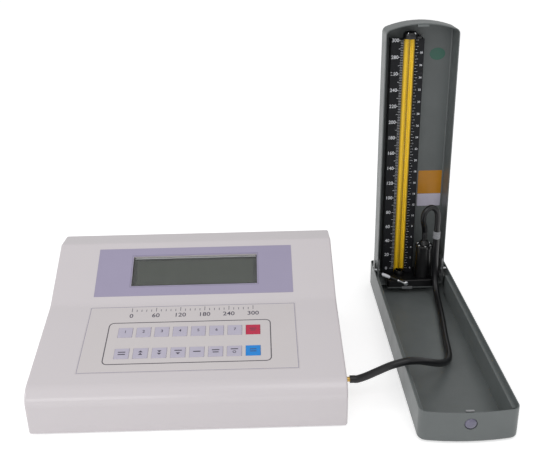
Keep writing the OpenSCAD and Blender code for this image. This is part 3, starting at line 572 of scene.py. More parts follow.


# The strip's painted shade by its distance from the tube's axis, in metres, standing in for the darkening
# that the tube's
# bore and glass bring: from dark to bright beside the bore's line, and from dark to bright at its outer edges
BORE_DARK, BORE_BRIGHT = 0.0009, 0.0021
EDGE_DARK, EDGE_BRIGHT = 0.0062, 0.0042
STRIP_PAINTED_SHADE = 0.35


def make_strip_look(colour):
    """Cast amber acrylic strip, with painted shade: darker along a line behind the tube's bore and at its
    outer edges.
    """
    tree, shader = make_look("strip", "acrylic strip amber painted shade", colour, 0.35)
    place = add(tree, "ShaderNodeTexCoord").outputs["Object"]
    across = add(tree, "ShaderNodeSeparateXYZ", {"Vector": place}).outputs["X"]
    middle = (COLUMN @ Vector((TUBE_X, 0, 0))).x
    offset = add(tree, "ShaderNodeMath", {0: across, 1: middle}, operation="SUBTRACT")
    away = add(tree, "ShaderNodeMath", {0: offset.outputs[0]}, operation="ABSOLUTE").outputs[0]
    bore, edge = [add(tree, "ShaderNodeMapRange", {"Value": away, "From Min": dark, "From Max": bright})
                  for dark, bright in ((BORE_DARK, BORE_BRIGHT), (EDGE_DARK, EDGE_BRIGHT))]
    both = add(tree, "ShaderNodeMath", {0: bore.outputs["Result"], 1: edge.outputs["Result"]},
               operation="MULTIPLY")
    # Painted shade: the strip's colour is darkened behind the tube's bore and towards its outer edges
    tint = mix_of(tree, both.outputs[0], [c * STRIP_PAINTED_SHADE for c in colour], colour)
    tree.links.new(tint.outputs[2], shader.inputs["Base Color"])


# The CAD nodes that stay as they are, under the look that each one gets
KEPT = {
    "cover": ["console_base"],
    "grey_plastic": ["rear_panel"],
    "panel": ["display_panel"],
    "sheet": ["keypad_sheet"],
    "board": ["keypad_circuit", "main_board"],
    "black_plastic": ["display_module", "mains_inlet", "power_switch", "pressure_sensor"],
    "red_plastic": ["power_rocker"],
    "steel": ["air_pump", "deflate_valve", "air_tank", "base_screws", "hinge_plates", "hinge_pins",
              "catch_hook"],
    "silicone": ["inner_tubes"],
    "iron": ["transformer"],
    "brass": ["air_port"],
    "rubber": ["console_feet", "tray_feet"],
    "dark_paint": ["scale_channel"],
    "scale": ["scale_plates"],
    "strip": ["tube_strip"],
    "black_steel": ["column_screws"],
    "paint": ["catch_plate"],
    "mercury": ["mercury"],
}


class CALIBRATOR_OT_materials(bpy.types.Operator):
    """Makes the materials and gives them to the CAD nodes that stay as they are"""
    bl_idname = "calibrator.materials"
    bl_label = "Materials"

    def execute(self, context):
        case = context.scene.calibrator_case
        make_console_looks(context.scene.calibrator_console)
        make_display_look()
        make_case_looks(case)
        make_strip_look(case.strip_colour)
        for name, nodes in KEPT.items():
            for node in nodes:
                for place in NODES[node].material_slots:
                    place.material = look(name)
        return {"FINISHED"}


# Console

WIDTH, DEPTH, WALL, LIFT = 312.0, 237.0, 2.8, 2.0
DISPLAY_RUN, RIDGE_DROP = 85, 2
RIDGE = (CREASE_Y + DISPLAY_RUN * cos(DISPLAY_SLOPE), CREASE_Z + DISPLAY_RUN * sin(DISPLAY_SLOPE))
RIDGE_ROUND, CREASE_ROUND, FRONT_ROUND = 8, 30, 18
COVER_POINTS = [
    (2, LIFT), (DEPTH, LIFT), (DEPTH, RIDGE[1] - RIDGE_DROP), RIDGE, (CREASE_Y, CREASE_Z),
    (0, CREASE_Z - CREASE_Y * tan(KEYPAD_SLOPE))]
COVER_ROUNDS = [0, 0, RIDGE_ROUND, RIDGE_ROUND, CREASE_ROUND, FRONT_ROUND]
HOLLOW_ROUNDS = [0, 0, RIDGE_ROUND - WALL, RIDGE_ROUND - WALL, CREASE_ROUND + WALL, FRONT_ROUND - WALL]
# Each glued sheet lies in a pocket that is wider all round by this gap
GLUE_GAP = 0.1
SHEET_W, SHEET_H, SHEET_DEEP, SHEET_MIDDLE = 221, 99, 1.6, -54.5
PANEL_W, PANEL_H, PANEL_DEEP, PANEL_MIDDLE = 219, 66, 0.4, 43
WINDOW_W, WINDOW_H, WINDOW_MIDDLE = 140, 41.5, 44
ON_WINDOW = ON_DISPLAY @ Matrix.Translation((0, WINDOW_MIDDLE, 0))
REAR_HALF, REAR_LOW, REAR_HIGH = 140, 14, 90
PORT_Y, PORT_Z, PORT_HOLE = 50, 23, 5


class CALIBRATOR_OT_cover(bpy.types.Operator):
    """Moulded cover with its pockets for the keypad sheet, the display panel and the rear panel"""
    bl_idname = "calibrator.cover"
    bl_label = "Console cover"

    def execute(self, context):
        sizes = context.scene.calibrator_console
        half = WIDTH / 2
        cover = outline_block("cover_shell", rounded(COVER_POINTS, COVER_ROUNDS, 14), -half, half)
        with editing(cover):
            choose(cover, "EDGE", lambda e: abs(abs(e.verts[0].co.x) - half) < 0.01
                   and abs(e.verts[0].co.x - e.verts[1].co.x) < 0.01)
            bpy.ops.mesh.bevel(offset=sizes.side_round * 1000, segments=4, affect="EDGES")
        open_below = [(y, z - 2 * WALL) if z == LIFT else (y, z) for y, z in COVER_POINTS]
        within = rounded(inset(open_below, WALL), HOLLOW_ROUNDS, 10)
        hollow = outline_block("hollow", within, WALL - half, half - WALL)
        keypad = slab("keypad", SHEET_W + 2 * GLUE_GAP, SHEET_H + 2 * GLUE_GAP, -SHEET_DEEP, 3)
        move(keypad, ON_KEYPAD @ Matrix.Translation((0, SHEET_MIDDLE, 0)))
        panel = slab("panel", PANEL_W + 2 * GLUE_GAP, PANEL_H + 2 * GLUE_GAP, -PANEL_DEEP, 3)
        move(panel, ON_DISPLAY @ Matrix.Translation((0, PANEL_MIDDLE, 0)))
        window = move(slab("window", WINDOW_W, WINDOW_H, -6, 3), ON_WINDOW)
        rear = block("rear", (-REAR_HALF, DEPTH - 5, REAR_LOW), (REAR_HALF, DEPTH + 5, REAR_HIGH))
        port = bar_of("port", PORT_HOLE, -5, 5, (half, PORT_Y, PORT_Z), "X", 32)
        carve(cover, hollow, keypad, panel, window, rear, port)
        fit(finish(cover, CONSOLE, 30), "set", "white_plastic", look("cover"), "console_cover")
        return {"FINISHED"}


# The layers of the display, as heights on its sloping face
GLASS_W, GLASS_H = 131, 33.5
LAYER_BACK, GLASS_FRONT, BEZEL_FRONT, STRIP_FRONT = -4.3, -4.05, -3.75, -3.45
PANE_BACK, PANE_FRONT = -3.4, -2.8


class CALIBRATOR_OT_display(bpy.types.Operator):
    """Display glass, its bezel with a painted highlight along its top, and the clear window in front"""
    bl_idname = "calibrator.display"
    bl_label = "Display"

    def execute(self, context):
        place = CONSOLE @ ON_WINDOW
        bezel = carve(slab("display_bezel", WINDOW_W, WINDOW_H, LAYER_BACK, BEZEL_FRONT, 0.1),
                      slab("hole", GLASS_W, GLASS_H, -6, 0))
        fit(finish(bezel, place), "set", "black_plastic", look("black_plastic"))
        face = slab("display_face", GLASS_W, GLASS_H, LAYER_BACK, GLASS_FRONT, 0.05)
        fit(finish(face, place), "set", "display", look("crystal"))
        # A painted highlight: a pale band along the top of the bezel, just under the window's top edge
        strip = block("display_painted_highlight", (-69, 19.2, BEZEL_FRONT), (69, 20.5, STRIP_FRONT), 0.1)
        fit(finish(strip, place), "set", "clear_window", look("pale_highlight"))
        pane = slab("display_pane", 150, 46.5, PANE_BACK, PANE_FRONT, 0.15)
        fit(finish(pane, place), "set", "clear_window", look("acrylic"), "display_window")
        rim = ribbon("display_print", corners(-71.2, 71.2, -22, 22), 0.7)
        fit(finish(rim, place), "set", "lilac_panel", look("line_ink"))
        return {"FINISHED"}


PITCH, ROW_PITCH, ROW_DOWN, KEYS_LEFT = 19.0, 31.0, 46.3, 1.7
KEY_W, KEY_H, KEY_CORNER = 15, 14.5, 0.9
KEY_BACK, KEY_EDGE = -0.66, 0.12
KEY_ROWS = [["key_1", "key_2", "key_3", "key_4", "key_5", "key_6", "key_7", "key_red"],
            ["key_set", "key_up", "key_down", "key_step", "key_hold", "key_zero", "key_vent", "key_blue"]]
# The look of the two keys that aren't lilac
BRIGHT_KEYS = {"key_red": "red_key", "key_blue": "blue_key"}
# Heights of the ink on a key's crown
INK = (0.62, 0.66)


def key_place(column, row):
    across = (column - 3.5) * PITCH - KEYS_LEFT
    return ON_KEYPAD @ Matrix.Translation((across, -ROW_DOWN - row * ROW_PITCH, 0))


def bar(y, w, h):
    return block("mark", (-w / 2, y - h / 2, INK[0]), (w / 2, y + h / 2, INK[1]), 0.015, 1)


def arrow(y, up):
    size = 2.3
    way = 1 if up else -1
    points = [(-size, y - way * size * 0.5), (size, y - way * size * 0.5), (0, y + way * size * 0.7)]
    return outline_block("mark", points if up else points[::-1], INK[0], INK[1], "XY")


def ring(y, r):
    section = [(r - 0.7, INK[0]), (r, INK[0]), (r, INK[1]), (r - 0.7, INK[1])]
    return move(lathe("mark", section, steps=24), Matrix.Translation((0, y, 0)))


def legend(name):
    """The print on one key: a plain figure or a plain sign."""
    if name[-1] in "1234567":
        return [words(name[-1], 5.4, Matrix.Translation((0, 0.6, INK[0] + 0.02)))]
    return {
        "key_red": lambda: [bar(1.4, 7.2, 1.0), bar(-1.4, 5.0, 1.0)],
        "key_set": lambda: [bar(1.7, 7.5, 1.3), bar(-1.5, 7.5, 1.3)],
        "key_up": lambda: [arrow(1.9, True), arrow(-1.6, True)],
        "key_down": lambda: [arrow(1.9, False), arrow(-1.6, False)],
        "key_step": lambda: [bar(2.4, 7.5, 1.3), arrow(-1.8, False)],
        "key_hold": lambda: [bar(0.2, 7.5, 1.4)],
        "key_zero": lambda: [bar(1.8, 7.5, 1.3), bar(-1.4, 6, 1.3)],
        "key_vent": lambda: [bar(2.4, 7.5, 1.3), ring(-1.7, 1.8)],
        "key_blue": lambda: [bar(1.6, 6.6, 1.0), bar(-1.4, 6.6, 1.0)],
    }[name]()


# The pressure rule: six figures, 60 apart in value, with five ticks to each
RULE_FIGURES, RULE_VALUE, RULE_STEPS = 6, 60, 5
RULE_LEFT, RULE_PITCH = -65, 26


class CALIBRATOR_OT_keypad(bpy.types.Operator):
    """Sixteen embossed keys with plain legends, and the printed lines of the keypad sheet"""
    bl_idname = "calibrator.keypad"
    bl_label = "Keypad"

    def execute(self, context):
        rise = context.scene.calibrator_console.key_rise * 1000
        outline = rounded(corners(-KEY_W / 2, KEY_W / 2, -KEY_H / 2, KEY_H / 2), [KEY_CORNER] * 4, 4)
        for row, names in enumerate(KEY_ROWS):
            for column, name in enumerate(names):
                place = CONSOLE @ key_place(column, row)
                key = outline_block("cap_" + name, outline, KEY_BACK, KEY_EDGE, "XY")
                with editing(key):
                    choose(key, "FACE", lambda f: f.normal.z > 0.9 and f.calc_center_median().z > 0)
                    bpy.ops.mesh.inset(thickness=0.3, depth=rise * 0.6)
                    bpy.ops.mesh.inset(thickness=0.3, depth=rise * 0.2)
                slot = BRIGHT_KEYS.get(name, "lilac_key")
                fit(finish(key, place, 50), name, slot, look(BRIGHT_KEYS.get(name, "key")), name)
                fit(finish(join("print_" + name, *legend(name)), place), name, slot, look("ink"))
        key_frame = rounded(corners(-86.3, 83, -92, -31.3), [5] * 4, 5)
        for line, ink in ((ribbon("sheet_edge_line", corners(-109.6, 109.6, -103, -6), 0.5), "line_ink"),
                          (ribbon("key_frame_line", key_frame, 1.1), "frame_ink")):
            fit(finish(line, CONSOLE @ ON_KEYPAD), "set", "key_sheet", look(ink))
        # A plain pressure rule in the place of a title
        places = [Matrix.Translation((RULE_LEFT + RULE_PITCH * i, -20.5, 0.07)) for i in range(RULE_FIGURES)]
        marks = [words(str(RULE_VALUE * i), 8.5, place) for i, place in enumerate(places)]
        for i in range(RULE_STEPS * (RULE_FIGURES - 1) + 1):
            x = RULE_LEFT + RULE_PITCH / RULE_STEPS * i
            top = -10.6 if i % RULE_STEPS else -8
            marks.append(block("tick", (x - 0.3, -14, PRINT[0]), (x + 0.3, top, PRINT[1]), 0.01, 1))
        rule = join("sheet_rule", *marks)
        fit(finish(rule, CONSOLE @ ON_KEYPAD), "set", "key_sheet", look("ink"))
        return {"FINISHED"}


# Folding case

TRAY_W, TRAY_L, TRAY_H, TRAY_FLOOR, TRAY_BOW, TRAY_CORNER = 96.0, 339.0, 35.0, 1.5, 5, 9
SHEET = 1.2
NOTCH_HALF, NOTCH_LOW = 44, 9.5
LEDGE_FRONT, LEDGE_REAR, LEDGE_TOP = 14, 40, 29.5
LID_W, LID_TOP, LID_FOOT, LID_BOW, LID_CORNER = 86.0, 345.5, 11.0, 8.5, 7
LID_FRONT, LID_BACK, LID_WALL = 313.0, 345.0, 1.3
LID_INSIDE = LID_BACK - LID_WALL
HINGE = (0, 315.5, 32.0)
BUTTON = (0, 0, 22.5)


class CALIBRATOR_OT_tray(bpy.types.Operator):
    """Pressed tray with its bowed front, side ledges and cut-down rear wall"""
    bl_idname = "calibrator.tray"
    bl_label = "Tray"

    def execute(self, context):
        edge = context.scene.calibrator_case.edge_round * 1000
        half = TRAY_W / 2
        points = [(-x, TRAY_BOW - y) for x, y in bowed(half, TRAY_BOW, 8)] + [(half, TRAY_L), (-half, TRAY_L)]
        n = len(points)
        radii = [TRAY_CORNER if i in (0, n - 3) else edge + 0.6 if i > n - 3 else 0 for i in range(n)]
        tray = outline_block("tray_shell", rounded(points, radii), TRAY_FLOOR, TRAY_H, "XY")
        with editing(tray):
            choose(tray, "EDGE", lambda e: max(v.co.z for v in e.verts) < TRAY_FLOOR + 0.1)
            bpy.ops.mesh.bevel(offset=edge, segments=5, affect="EDGES")
        within = rounded(inset(points, SHEET), [max(r - SHEET, 0) for r in radii])
        well = outline_block("well", within, TRAY_FLOOR + SHEET, 60, "XY")
        with editing(well):
            choose(well, "EDGE", lambda e: max(v.co.z for v in e.verts) < 2 * TRAY_FLOOR)
            bpy.ops.mesh.bevel(offset=edge - SHEET, segments=4, affect="EDGES")
        carve(tray, well)
        eased(tray, 0.35)
        notch = block("notch", (-NOTCH_HALF, 330, NOTCH_LOW), (NOTCH_HALF, 350, 70))
        carve(tray, notch, bar_of("button", 6.2, -5, 5, BUTTON, "Y", 32),
              bar_of("pins", 2, -60, 60, HINGE, "X", 24))
        inner, outer, under = LID_W / 2 - 0.6, half - SHEET + 0.2, LEDGE_TOP - SHEET
        profile = rounded([(inner, 2.6), (inner + SHEET, 2.6), (inner + SHEET, under), (outer, under),
                           (outer, LEDGE_TOP), (inner, LEDGE_TOP)], [0, 0, 0, 0, 0, 0.9], 4)
        mirrored = [(-x, z) for x, z in reversed(profile)]
        ledges = [outline_block("ledge", side, LEDGE_FRONT, TRAY_L - LEDGE_REAR, "XZ")
                  for side in (mirrored, profile)]
        join("tray_shell", tray, *ledges)
        fit(finish(tray, COLUMN, 30), "set", "grey_paint", look("paint"), "case_tray")
        return {"FINISHED"}


class CALIBRATOR_OT_lid(bpy.types.Operator):
    """Folding lid with its bowed end, standing open on its hinge pins"""
    bl_idname = "calibrator.lid"
    bl_label = "Lid"

    def execute(self, context):
        edge = context.scene.calibrator_case.edge_round * 1000
        half, shoulder = LID_W / 2, LID_TOP - LID_BOW
        points = [(-half, LID_FOOT), (half, LID_FOOT)]
        points += [(x, shoulder + z) for x, z in bowed(half, LID_BOW, 12)]
        n = len(points)
        radii = [edge + 0.6 if i < 2 else LID_CORNER if i in (2, n - 1) else 0 for i in range(n)]
        lid = outline_block("lid_shell", rounded(points, radii), LID_FRONT, LID_BACK, "XZ")
        with editing(lid):
            choose(lid, "EDGE", lambda e: min(v.co.y for v in e.verts) > LID_BACK - 0.01)
            bpy.ops.mesh.bevel(offset=edge, segments=5, affect="EDGES")
        within = rounded(inset(points, LID_WALL), [max(r - LID_WALL, 0) for r in radii])
        hollow = outline_block("hollow", within, LID_FRONT - 5, LID_INSIDE, "XZ")
        with editing(hollow):
            choose(hollow, "EDGE", lambda e: min(v.co.y for v in e.verts) > LID_INSIDE - 0.01)
            bpy.ops.mesh.bevel(offset=edge - LID_WALL, segments=4, affect="EDGES")
        carve(lid, hollow)
        eased(lid, 0.35)
        carve(lid, bar_of("pins", 2.05, -60, 60, HINGE, "X", 24))
        fit(finish(lid, COLUMN, 30), "lid", "grey_paint", look("paint"), "case_lid")
        return {"FINISHED"}


class CALIBRATOR_OT_catch(bpy.types.Operator):
    """Domed catch button in the tray's front wall"""
    bl_idname = "calibrator.catch"
    bl_label = "Catch"

    def execute(self, context):
        dome_and_flange = [(0, -1.5), (1.8, -1.35), (3.4, -0.95), (4.7, -0.3), (5.6, 0.5), (6.0, 1.2),
                           (6.0, 1.5), (7.5, 1.5), (7.5, 2.3), (0, 2.3)]
        button = lathe("button_cap", dome_and_flange, BUTTON, "Y")
        fit(finish(button, COLUMN, 40), "catch", "button_plastic", look("button"), "catch_button")
        return {"FINISHED"}


# Mercury column

TUBE_X, TUBE_Y, TUBE_R, BORE_R = -12.5, 324.4, 4.5, 2.0
TUBE = (TUBE_X, TUBE_Y, 0)
ZERO, SCALE_FACE = 28.5, 327.0
SCALE_TOP = ZERO + 300 * 0.985 + 1
# Millimetres of mercury in a kilopascal
KILOPASCAL = 7.5006
STAND = Matrix.Rotation(pi / 2, 4, "X")


def ticks(x, reach, gap, count, thick):
    """A row of short lines up the scale from its zero."""
    low = (min(x, x + reach), SCALE_FACE - 0.05, ZERO - thick / 2)
    high = (max(x, x + reach), SCALE_FACE, ZERO + thick / 2)
    return modify(block("tick", low, high, 0.01, 1), "ARRAY", count=count, use_relative_offset=False,
                  use_constant_offset=True, constant_offset_displace=(0, 0, gap))


def figures(x, size, value_step, gap, count):
    """A column of figures that face the front."""
    places = [Matrix.Translation((x, SCALE_FACE - 0.03, ZERO + i * gap)) @ STAND for i in range(count)]
    return [words(str(value_step * i), size, place) for i, place in enumerate(places)]


class CALIBRATOR_OT_scale(bpy.types.Operator):
    """White graduations and figures on the scale plates"""
    bl_idname = "calibrator.scale"
    bl_label = "Scale"

    def execute(self, context):
        step = context.scene.calibrator_case.mark_step * 1000
        kpa = KILOPASCAL * step
        left, right = TUBE_X - 7.2, TUBE_X + 7.2
        marks = [ticks(left, -3.2, 2 * step, 151, 0.28), ticks(left, -5.4, 10 * step, 31, 0.4),
                 ticks(right, 2.0, kpa / 2, 81, 0.25), ticks(right, 3.4, kpa, 41, 0.36)]
        marks += figures(-29.3, 5.8, 20, 20 * step, 16)
        marks += figures(1.9, 3.4, 2, 2 * kpa, 20)
        fit(finish(join("scale_marks", *marks), COLUMN), "lid", "black_scale", look("white_fill"))
        return {"FINISHED"}


class CALIBRATOR_OT_tube(bpy.types.Operator):
    """Glass tube and its domed cap"""
    bl_idname = "calibrator.tube"
    bl_label = "Tube and cap"

    def execute(self, context):
        low, high, lip = 17.1, SCALE_TOP + 5.5, 0.2
        wall = [(BORE_R, low + lip), (BORE_R + lip, low), (TUBE_R - lip, low), (TUBE_R, low + lip),
                (TUBE_R, high - lip), (TUBE_R - lip, high), (BORE_R + lip, high), (BORE_R, high - lip)]
        tube = lathe("tube_glass", wall, TUBE)
        fit(finish(tube, COLUMN, 40), "lid", "clear_glass", look("glass"), "glass_tube")
        base = SCALE_TOP + 1.5
        dome = [(4.55, 0), (8.1, 0), (8.5, 0.4), (8.5, 3.0), (7.9, 3.3), (7.9, 3.8), (8.4, 4.1), (8.2, 6.0),
                (7.2, 7.4), (5.2, 8.4), (2.6, 8.9), (0, 9.0), (0, 4.2), (4.55, 4.2)]
        cap = lathe("cap_dome", dome, (TUBE_X, TUBE_Y, base))
        arm = block("arm", (TUBE_X + 4, TUBE_Y - 3, base), (TUBE_X + 13, LID_INSIDE - 0.1, base + 2.5), 0.5)
        join("cap_dome", cap, arm)
        fit(finish(cap, COLUMN, 40), "lid", "black_gloss", look("phenolic"), "tube_cap")
        head = [(0, -1), (1.5, -1), (1.5, 0.4), (1.1, 0.9), (0, 1.1)]
        heads = [lathe("cap_screw", head, (TUBE_X + side, TUBE_Y - 5.3, base + 6.6), "Z", 20)
                 for side in (-3.2, 4.2)]
        screws = join("cap_dome_screws", *heads)
        fit(finish(screws, COLUMN, 40), "lid", "chrome", look("chrome"))
        return {"FINISHED"}


BLOCK_FRONT, BLOCK_LOW, BLOCK_TOP = 303, 12.4, 22
STEM = (-7, BLOCK_FRONT, 18)
# The lever at rest points up to the left
LEVER_TURN = radians(155)
LEVER_AXIS = (0, -1.9, 0)
LEVER_PARTS = {
    "rod": [(0, 1), (1.1, 1), (1.3, 4), (1.0, 8), (1.7, 9.6), (1.9, 11), (1.7, 12.4), (1.0, 14), (1.1, 25),
            (0, 25)],
    "lever_sleeve": [(0, 12.6), (1.7, 12.8), (1.9, 13.2), (1.9, 22.6), (1.6, 23.4), (0, 23.5)],
    "lever_grip": [(0, 23.5), (1.4, 23.6), (2.0, 24.4), (2.2, 29), (2.0, 34.2), (1.3, 35), (0, 35.1)],
}


def lever_part(name):
    return lathe(name, LEVER_PARTS[name], LEVER_AXIS, "X", 20)


class CALIBRATOR_OT_valve(bpy.types.Operator):
    """Valve block with its lever"""
    bl_idname = "calibrator.valve"
    bl_label = "Valve block"

    def execute(self, context):
        outline = rounded(corners(-31, 29, BLOCK_FRONT, 343.6), [4, 4, 0, 0], 8)
        moulding = outline_block("block_moulding", outline, BLOCK_LOW, BLOCK_TOP, "XY")
        eased(moulding, 0.9, 3)
        carve(moulding, bar_of("seat", 4.55, 17, 25, TUBE, "Z", 32),
              bar_of("stem", 2.45, -3, 8.2, STEM, "Y", 24))
        fit(finish(moulding, COLUMN, 40), "lid", "black_gloss", look("phenolic"), "valve_block")
        ring_nut = [(4.55, 0), (6.6, 0), (6.8, 0.4), (6.8, 3.4), (6.2, 3.8), (5.8, 5.4), (5.2, 5.8),
                    (4.55, 5.8)]
        gland = lathe("tube_gland", ring_nut, (TUBE_X, TUBE_Y, BLOCK_TOP - 0.1))
        fit(finish(gland, COLUMN, 40), "lid", "black_gloss", look("phenolic"))
        place = COLUMN @ Matrix.Translation(STEM) @ Matrix.Rotation(-LEVER_TURN, 4, "Y")
        hub = [(0, -2.9), (2.2, -2.7), (3.0, -2.0), (3.0, -0.6), (2.4, -0.3), (2.4, 8), (0, 8)]
        arm = join("lever_arm", lathe("lever_arm", hub, axis="Y", steps=28), lever_part("rod"))
        fit(finish(arm, place, 45), "lever", "chrome", look("chrome"))
        fit(finish(lever_part("lever_sleeve"), place, 45), "lever", "chrome", look("phenolic"))
        fit(finish(lever_part("lever_grip"), place, 45), "lever", "chrome", look("white_fill"), "valve_lever")
        return {"FINISHED"}


RESERVOIR = (17, 318, 22)


class CALIBRATOR_OT_reservoir(bpy.types.Operator):
    """Mercury reservoir with its screwed cap and nipple"""
    bl_idname = "calibrator.reservoir"
    bl_label = "Reservoir"

    def execute(self, context):
        tapered_pot = [(0, 4), (7.5, 4), (7.5, 40), (9.7, 40), (10.0, 39.7), (10.0, 37), (10.15, 36.4),
                       (11.3, 8), (11.5, 6), (11.5, 0.5), (11.1, 0), (0, 0)]
        body = lathe("reservoir_body", tapered_pot, RESERVOIR, "Z", 48)
        fit(finish(body, COLUMN, 40), "lid", "black_gloss", look("phenolic"), "reservoir")
        collar_and_nipple = [(0, 40), (10.6, 40), (11.0, 40.4), (11.0, 43.4), (10.5, 44), (6.2, 44),
                             (5.7, 44.3), (5.5, 45), (4.7, 48.6), (4.0, 49.8), (3.0, 50.2), (3.0, 53.6),
                             (2.6, 54), (0, 54)]
        cap = lathe("reservoir_collar", collar_and_nipple, RESERVOIR, "Z", 48)
        fit(finish(cap, COLUMN, 40), "lid", "black_gloss", look("phenolic"), "reservoir_cap")
        screws = []
        for i in range(6):
            turn = Matrix.Translation(RESERVOIR) @ Matrix.Rotation(radians(60 * i + 30), 4, "Z")
            head = lathe("head", [(0, 0), (1.5, 0), (1.5, 0.45), (1.2, 0.8), (0.6, 0.9), (0, 0.9)], steps=20)
            carve(head, block("slot", (-2, -0.2, 0.5), (2, 0.2, 2)))
            screws.append(move(head, turn @ Matrix.Translation((8.4, 0, 44))))
        heads = join("collar_screws", *screws)
        fit(finish(heads, COLUMN, 30), "lid", "chrome", look("chrome"), "cap_screws")
        return {"FINISHED"}


# Hoses

COUPLING = (29, 303.5, 80)
HOSE_R, LOOP_R = 4.0, 3.5
COLUMN_ROUTE = [
    (17, 318, 76), (17, 318, 80), (17, 318, 84), (15.2, 314, 92), (12, 307.5, 103), (12, 304.5, 113),
    (15.5, 303.5, 119.5), (20.5, 303.5, 122), (25.5, 303.5, 119.5), (28.5, 303.5, 113), (29, 303.5, 104),
    (29, 303.5, 95.5), (29, 303.5, 89.5)]
HOSE_ROUTE = [
    (-105, 79.3, 23), (-101, 79.3, 23), (-97, 79.3, 23), (-88, 79.5, 26), (-76, 80, 31.5),
    (-62, 80.5, 37.6), (-46, 83, 40.2), (-32, 89, 36.6), (-19, 98, 28.8), (-6, 110, 19.5), (4, 123, 12.5),
    (11, 137, 9), (14.5, 154, 7), (16.5, 172, 6.8), (19, 192, 6.8), (22, 214, 6.8), (25, 236, 6.8),
    (27.5, 258, 6.8), (29.3, 278, 8), (30, 291, 13.5), (30, 299.5, 24), (29.6, 303, 38), (29, 303.5, 54),
    (29, 303.5, 68), COUPLING]


def smooth_route(route, steps=5):
    """The curve through the route's points, as the CAD model draws it, with more rings."""
    out = []
    points = [Vector(p) for p in route]
    n = len(points)
    for i in range(n - 1):
        a, b, c, d = points[max(i - 1, 0)], points[i], points[i + 1], points[min(i + 2, n - 1)]
        for k in range(steps):
            u = k / steps
            bend = (2 * a - 5 * b + 4 * c - d) * u * u + (3 * b - a - 3 * c + d) * u ** 3
            out.append(0.5 * (2 * b + (c - a) * u + bend))
    return out + [points[-1]]


def hose(name, route, radius, sides):
    """A tube swept along a route: a ring is added at each point and bridged to the last."""
    path = smooth_route(route)
    mesh = bmesh.new()
    side = None
    rings = []
    for i, point in enumerate(path):
        ahead = (path[min(i + 1, len(path) - 1)] - path[max(i - 1, 0)]).normalized()
        seed = side if side is not None else Vector((0, 0, 1) if abs(ahead.z) < 0.9 else (0, 1, 0))
        side = (seed - seed.dot(ahead) * ahead).normalized()
        other = ahead.cross(side)
        turns = [2 * pi * k / sides for k in range(sides)]
        rings.append([mesh.verts.new(point + radius * (cos(turn) * side + sin(turn) * other))
                      for turn in turns])
    for a, b in zip(rings, rings[1:]):
        for k in range(sides):
            mesh.faces.new((a[k], a[(k + 1) % sides], b[(k + 1) % sides], b[k]))
    mesh.faces.new(rings[0][::-1])
    mesh.faces.new(rings[-1])
    data = bpy.data.meshes.new(name)
    mesh.to_mesh(data)
    mesh.free()
    obj = bpy.data.objects.new(name, data)
    bpy.context.scene.collection.objects.link(obj)
    return tidy(obj), path


class CALIBRATOR_OT_hoses(bpy.types.Operator):
    """Short loop hose, coupling and the long air hose"""
    bl_idname = "calibrator.hoses"
    bl_label = "Hoses"

    def execute(self, context):
        sides = context.scene.calibrator_case.hose_sides
        loop, _ = hose("loop_hose", COLUMN_ROUTE, LOOP_R, sides)
        fit(finish(loop, COLUMN, 60), "lid", "hose_rubber", look("hose"), "column_hose")
        long_hose, path = hose("long_hose", HOSE_ROUTE, HOSE_R, sides)
        finish(long_hose, COLUMN, 60)
        long_hose.data.materials.append(look("hose"))
        sleeve = [(0, 0), (4.1, 0), (4.6, 0.5), (4.6, 2.2), (4.2, 2.6), (4.2, 3.2), (4.6, 3.6), (4.6, 5.9),
                  (4.2, 6.3), (4.2, 6.9), (4.6, 7.3), (4.6, 9.0), (4.1, 9.5), (0, 9.5)]
        coupling = lathe("coupling_sleeve", sleeve, COUPLING, "Z", 32)
        fit(finish(coupling, COLUMN, 35), "lid", "coupling_plastic", look("coupling"), "hose_coupling")
        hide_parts("air_hose")
        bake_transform(long_hose)
        return {"FINISHED"}


# Places of the hinge plates' rivets on each side, as depth and height
RIVETS = ((318, 22), (325, 22), (325, 42))
PLATE_INSIDE = 40.4


class CALIBRATOR_OT_fittings(bpy.types.Operator):
    """Rivets of the hinge plates, the valve block's seat and the steel tab at the lid's foot"""
    bl_idname = "calibrator.fittings"
    bl_label = "Case fittings"

    def execute(self, context):
        rivets = []
        for side in (-1, 1):
            for y, z in RIVETS:
                head = lathe("rivet", [(0, 0), (2.0, 0), (1.8, 0.5), (1.1, 0.9), (0, 1.0)], steps=20)
                turn = Matrix.Rotation(-side * pi / 2, 4, "Y")
                rivets.append(move(head, Matrix.Translation((side * PLATE_INSIDE, y, z)) @ turn))
        heads = join("hinge_rivets", *rivets)
        fit(finish(heads, COLUMN, 40), "lid", "steel", look("steel"))
        seat = block("block_seat", (-30, BLOCK_FRONT, 11.2), (28, 313, BLOCK_LOW - 0.05), 0.3)
        fit(finish(seat, COLUMN, 40), "lid", "grey_paint", look("paint"))
        tab = block("foot_tab", (-12, 302.1, 10.2), (1.5, 302.95, 13.6), 0.3)
        fit(finish(tab, COLUMN, 40), "lid", "steel", look("steel"))
        return {"FINISHED"}


# Labels on the lid's back

LABEL_LEFT, LABEL_RIGHT = 10, 40


def label(name, points, tint):
    """A thin plate with this outline on the inside of the lid's back."""
    piece = outline_block(name, points, LID_INSIDE - 0.25, LID_INSIDE, "XZ")
    eased(piece, 0.08, 1)
    return fit(finish(piece, COLUMN, 40), "lid", "grey_paint", look(tint))


class CALIBRATOR_OT_labels(bpy.types.Operator):
    """Bare labels on the inside of the lid, where the real ones are printed"""
    bl_idname = "calibrator.labels"
    bl_label = "Labels"

    def execute(self, context):
        turns = [2 * pi * i / 40 for i in range(40)]
        label("label_oval", [(24.8 + 9.3 * cos(turn), 304.5 + 7.3 * sin(turn)) for turn in turns],
              "green_label")
        for name, low, high, tint in (("label_orange", 126, 157, "orange_label"),
                                      ("label_lilac", 109, 125.8, "lilac_label")):
            label(name, rounded(corners(LABEL_LEFT, LABEL_RIGHT, low, high), [1] * 4, 4), tint)
        return {"FINISHED"}


# Stage

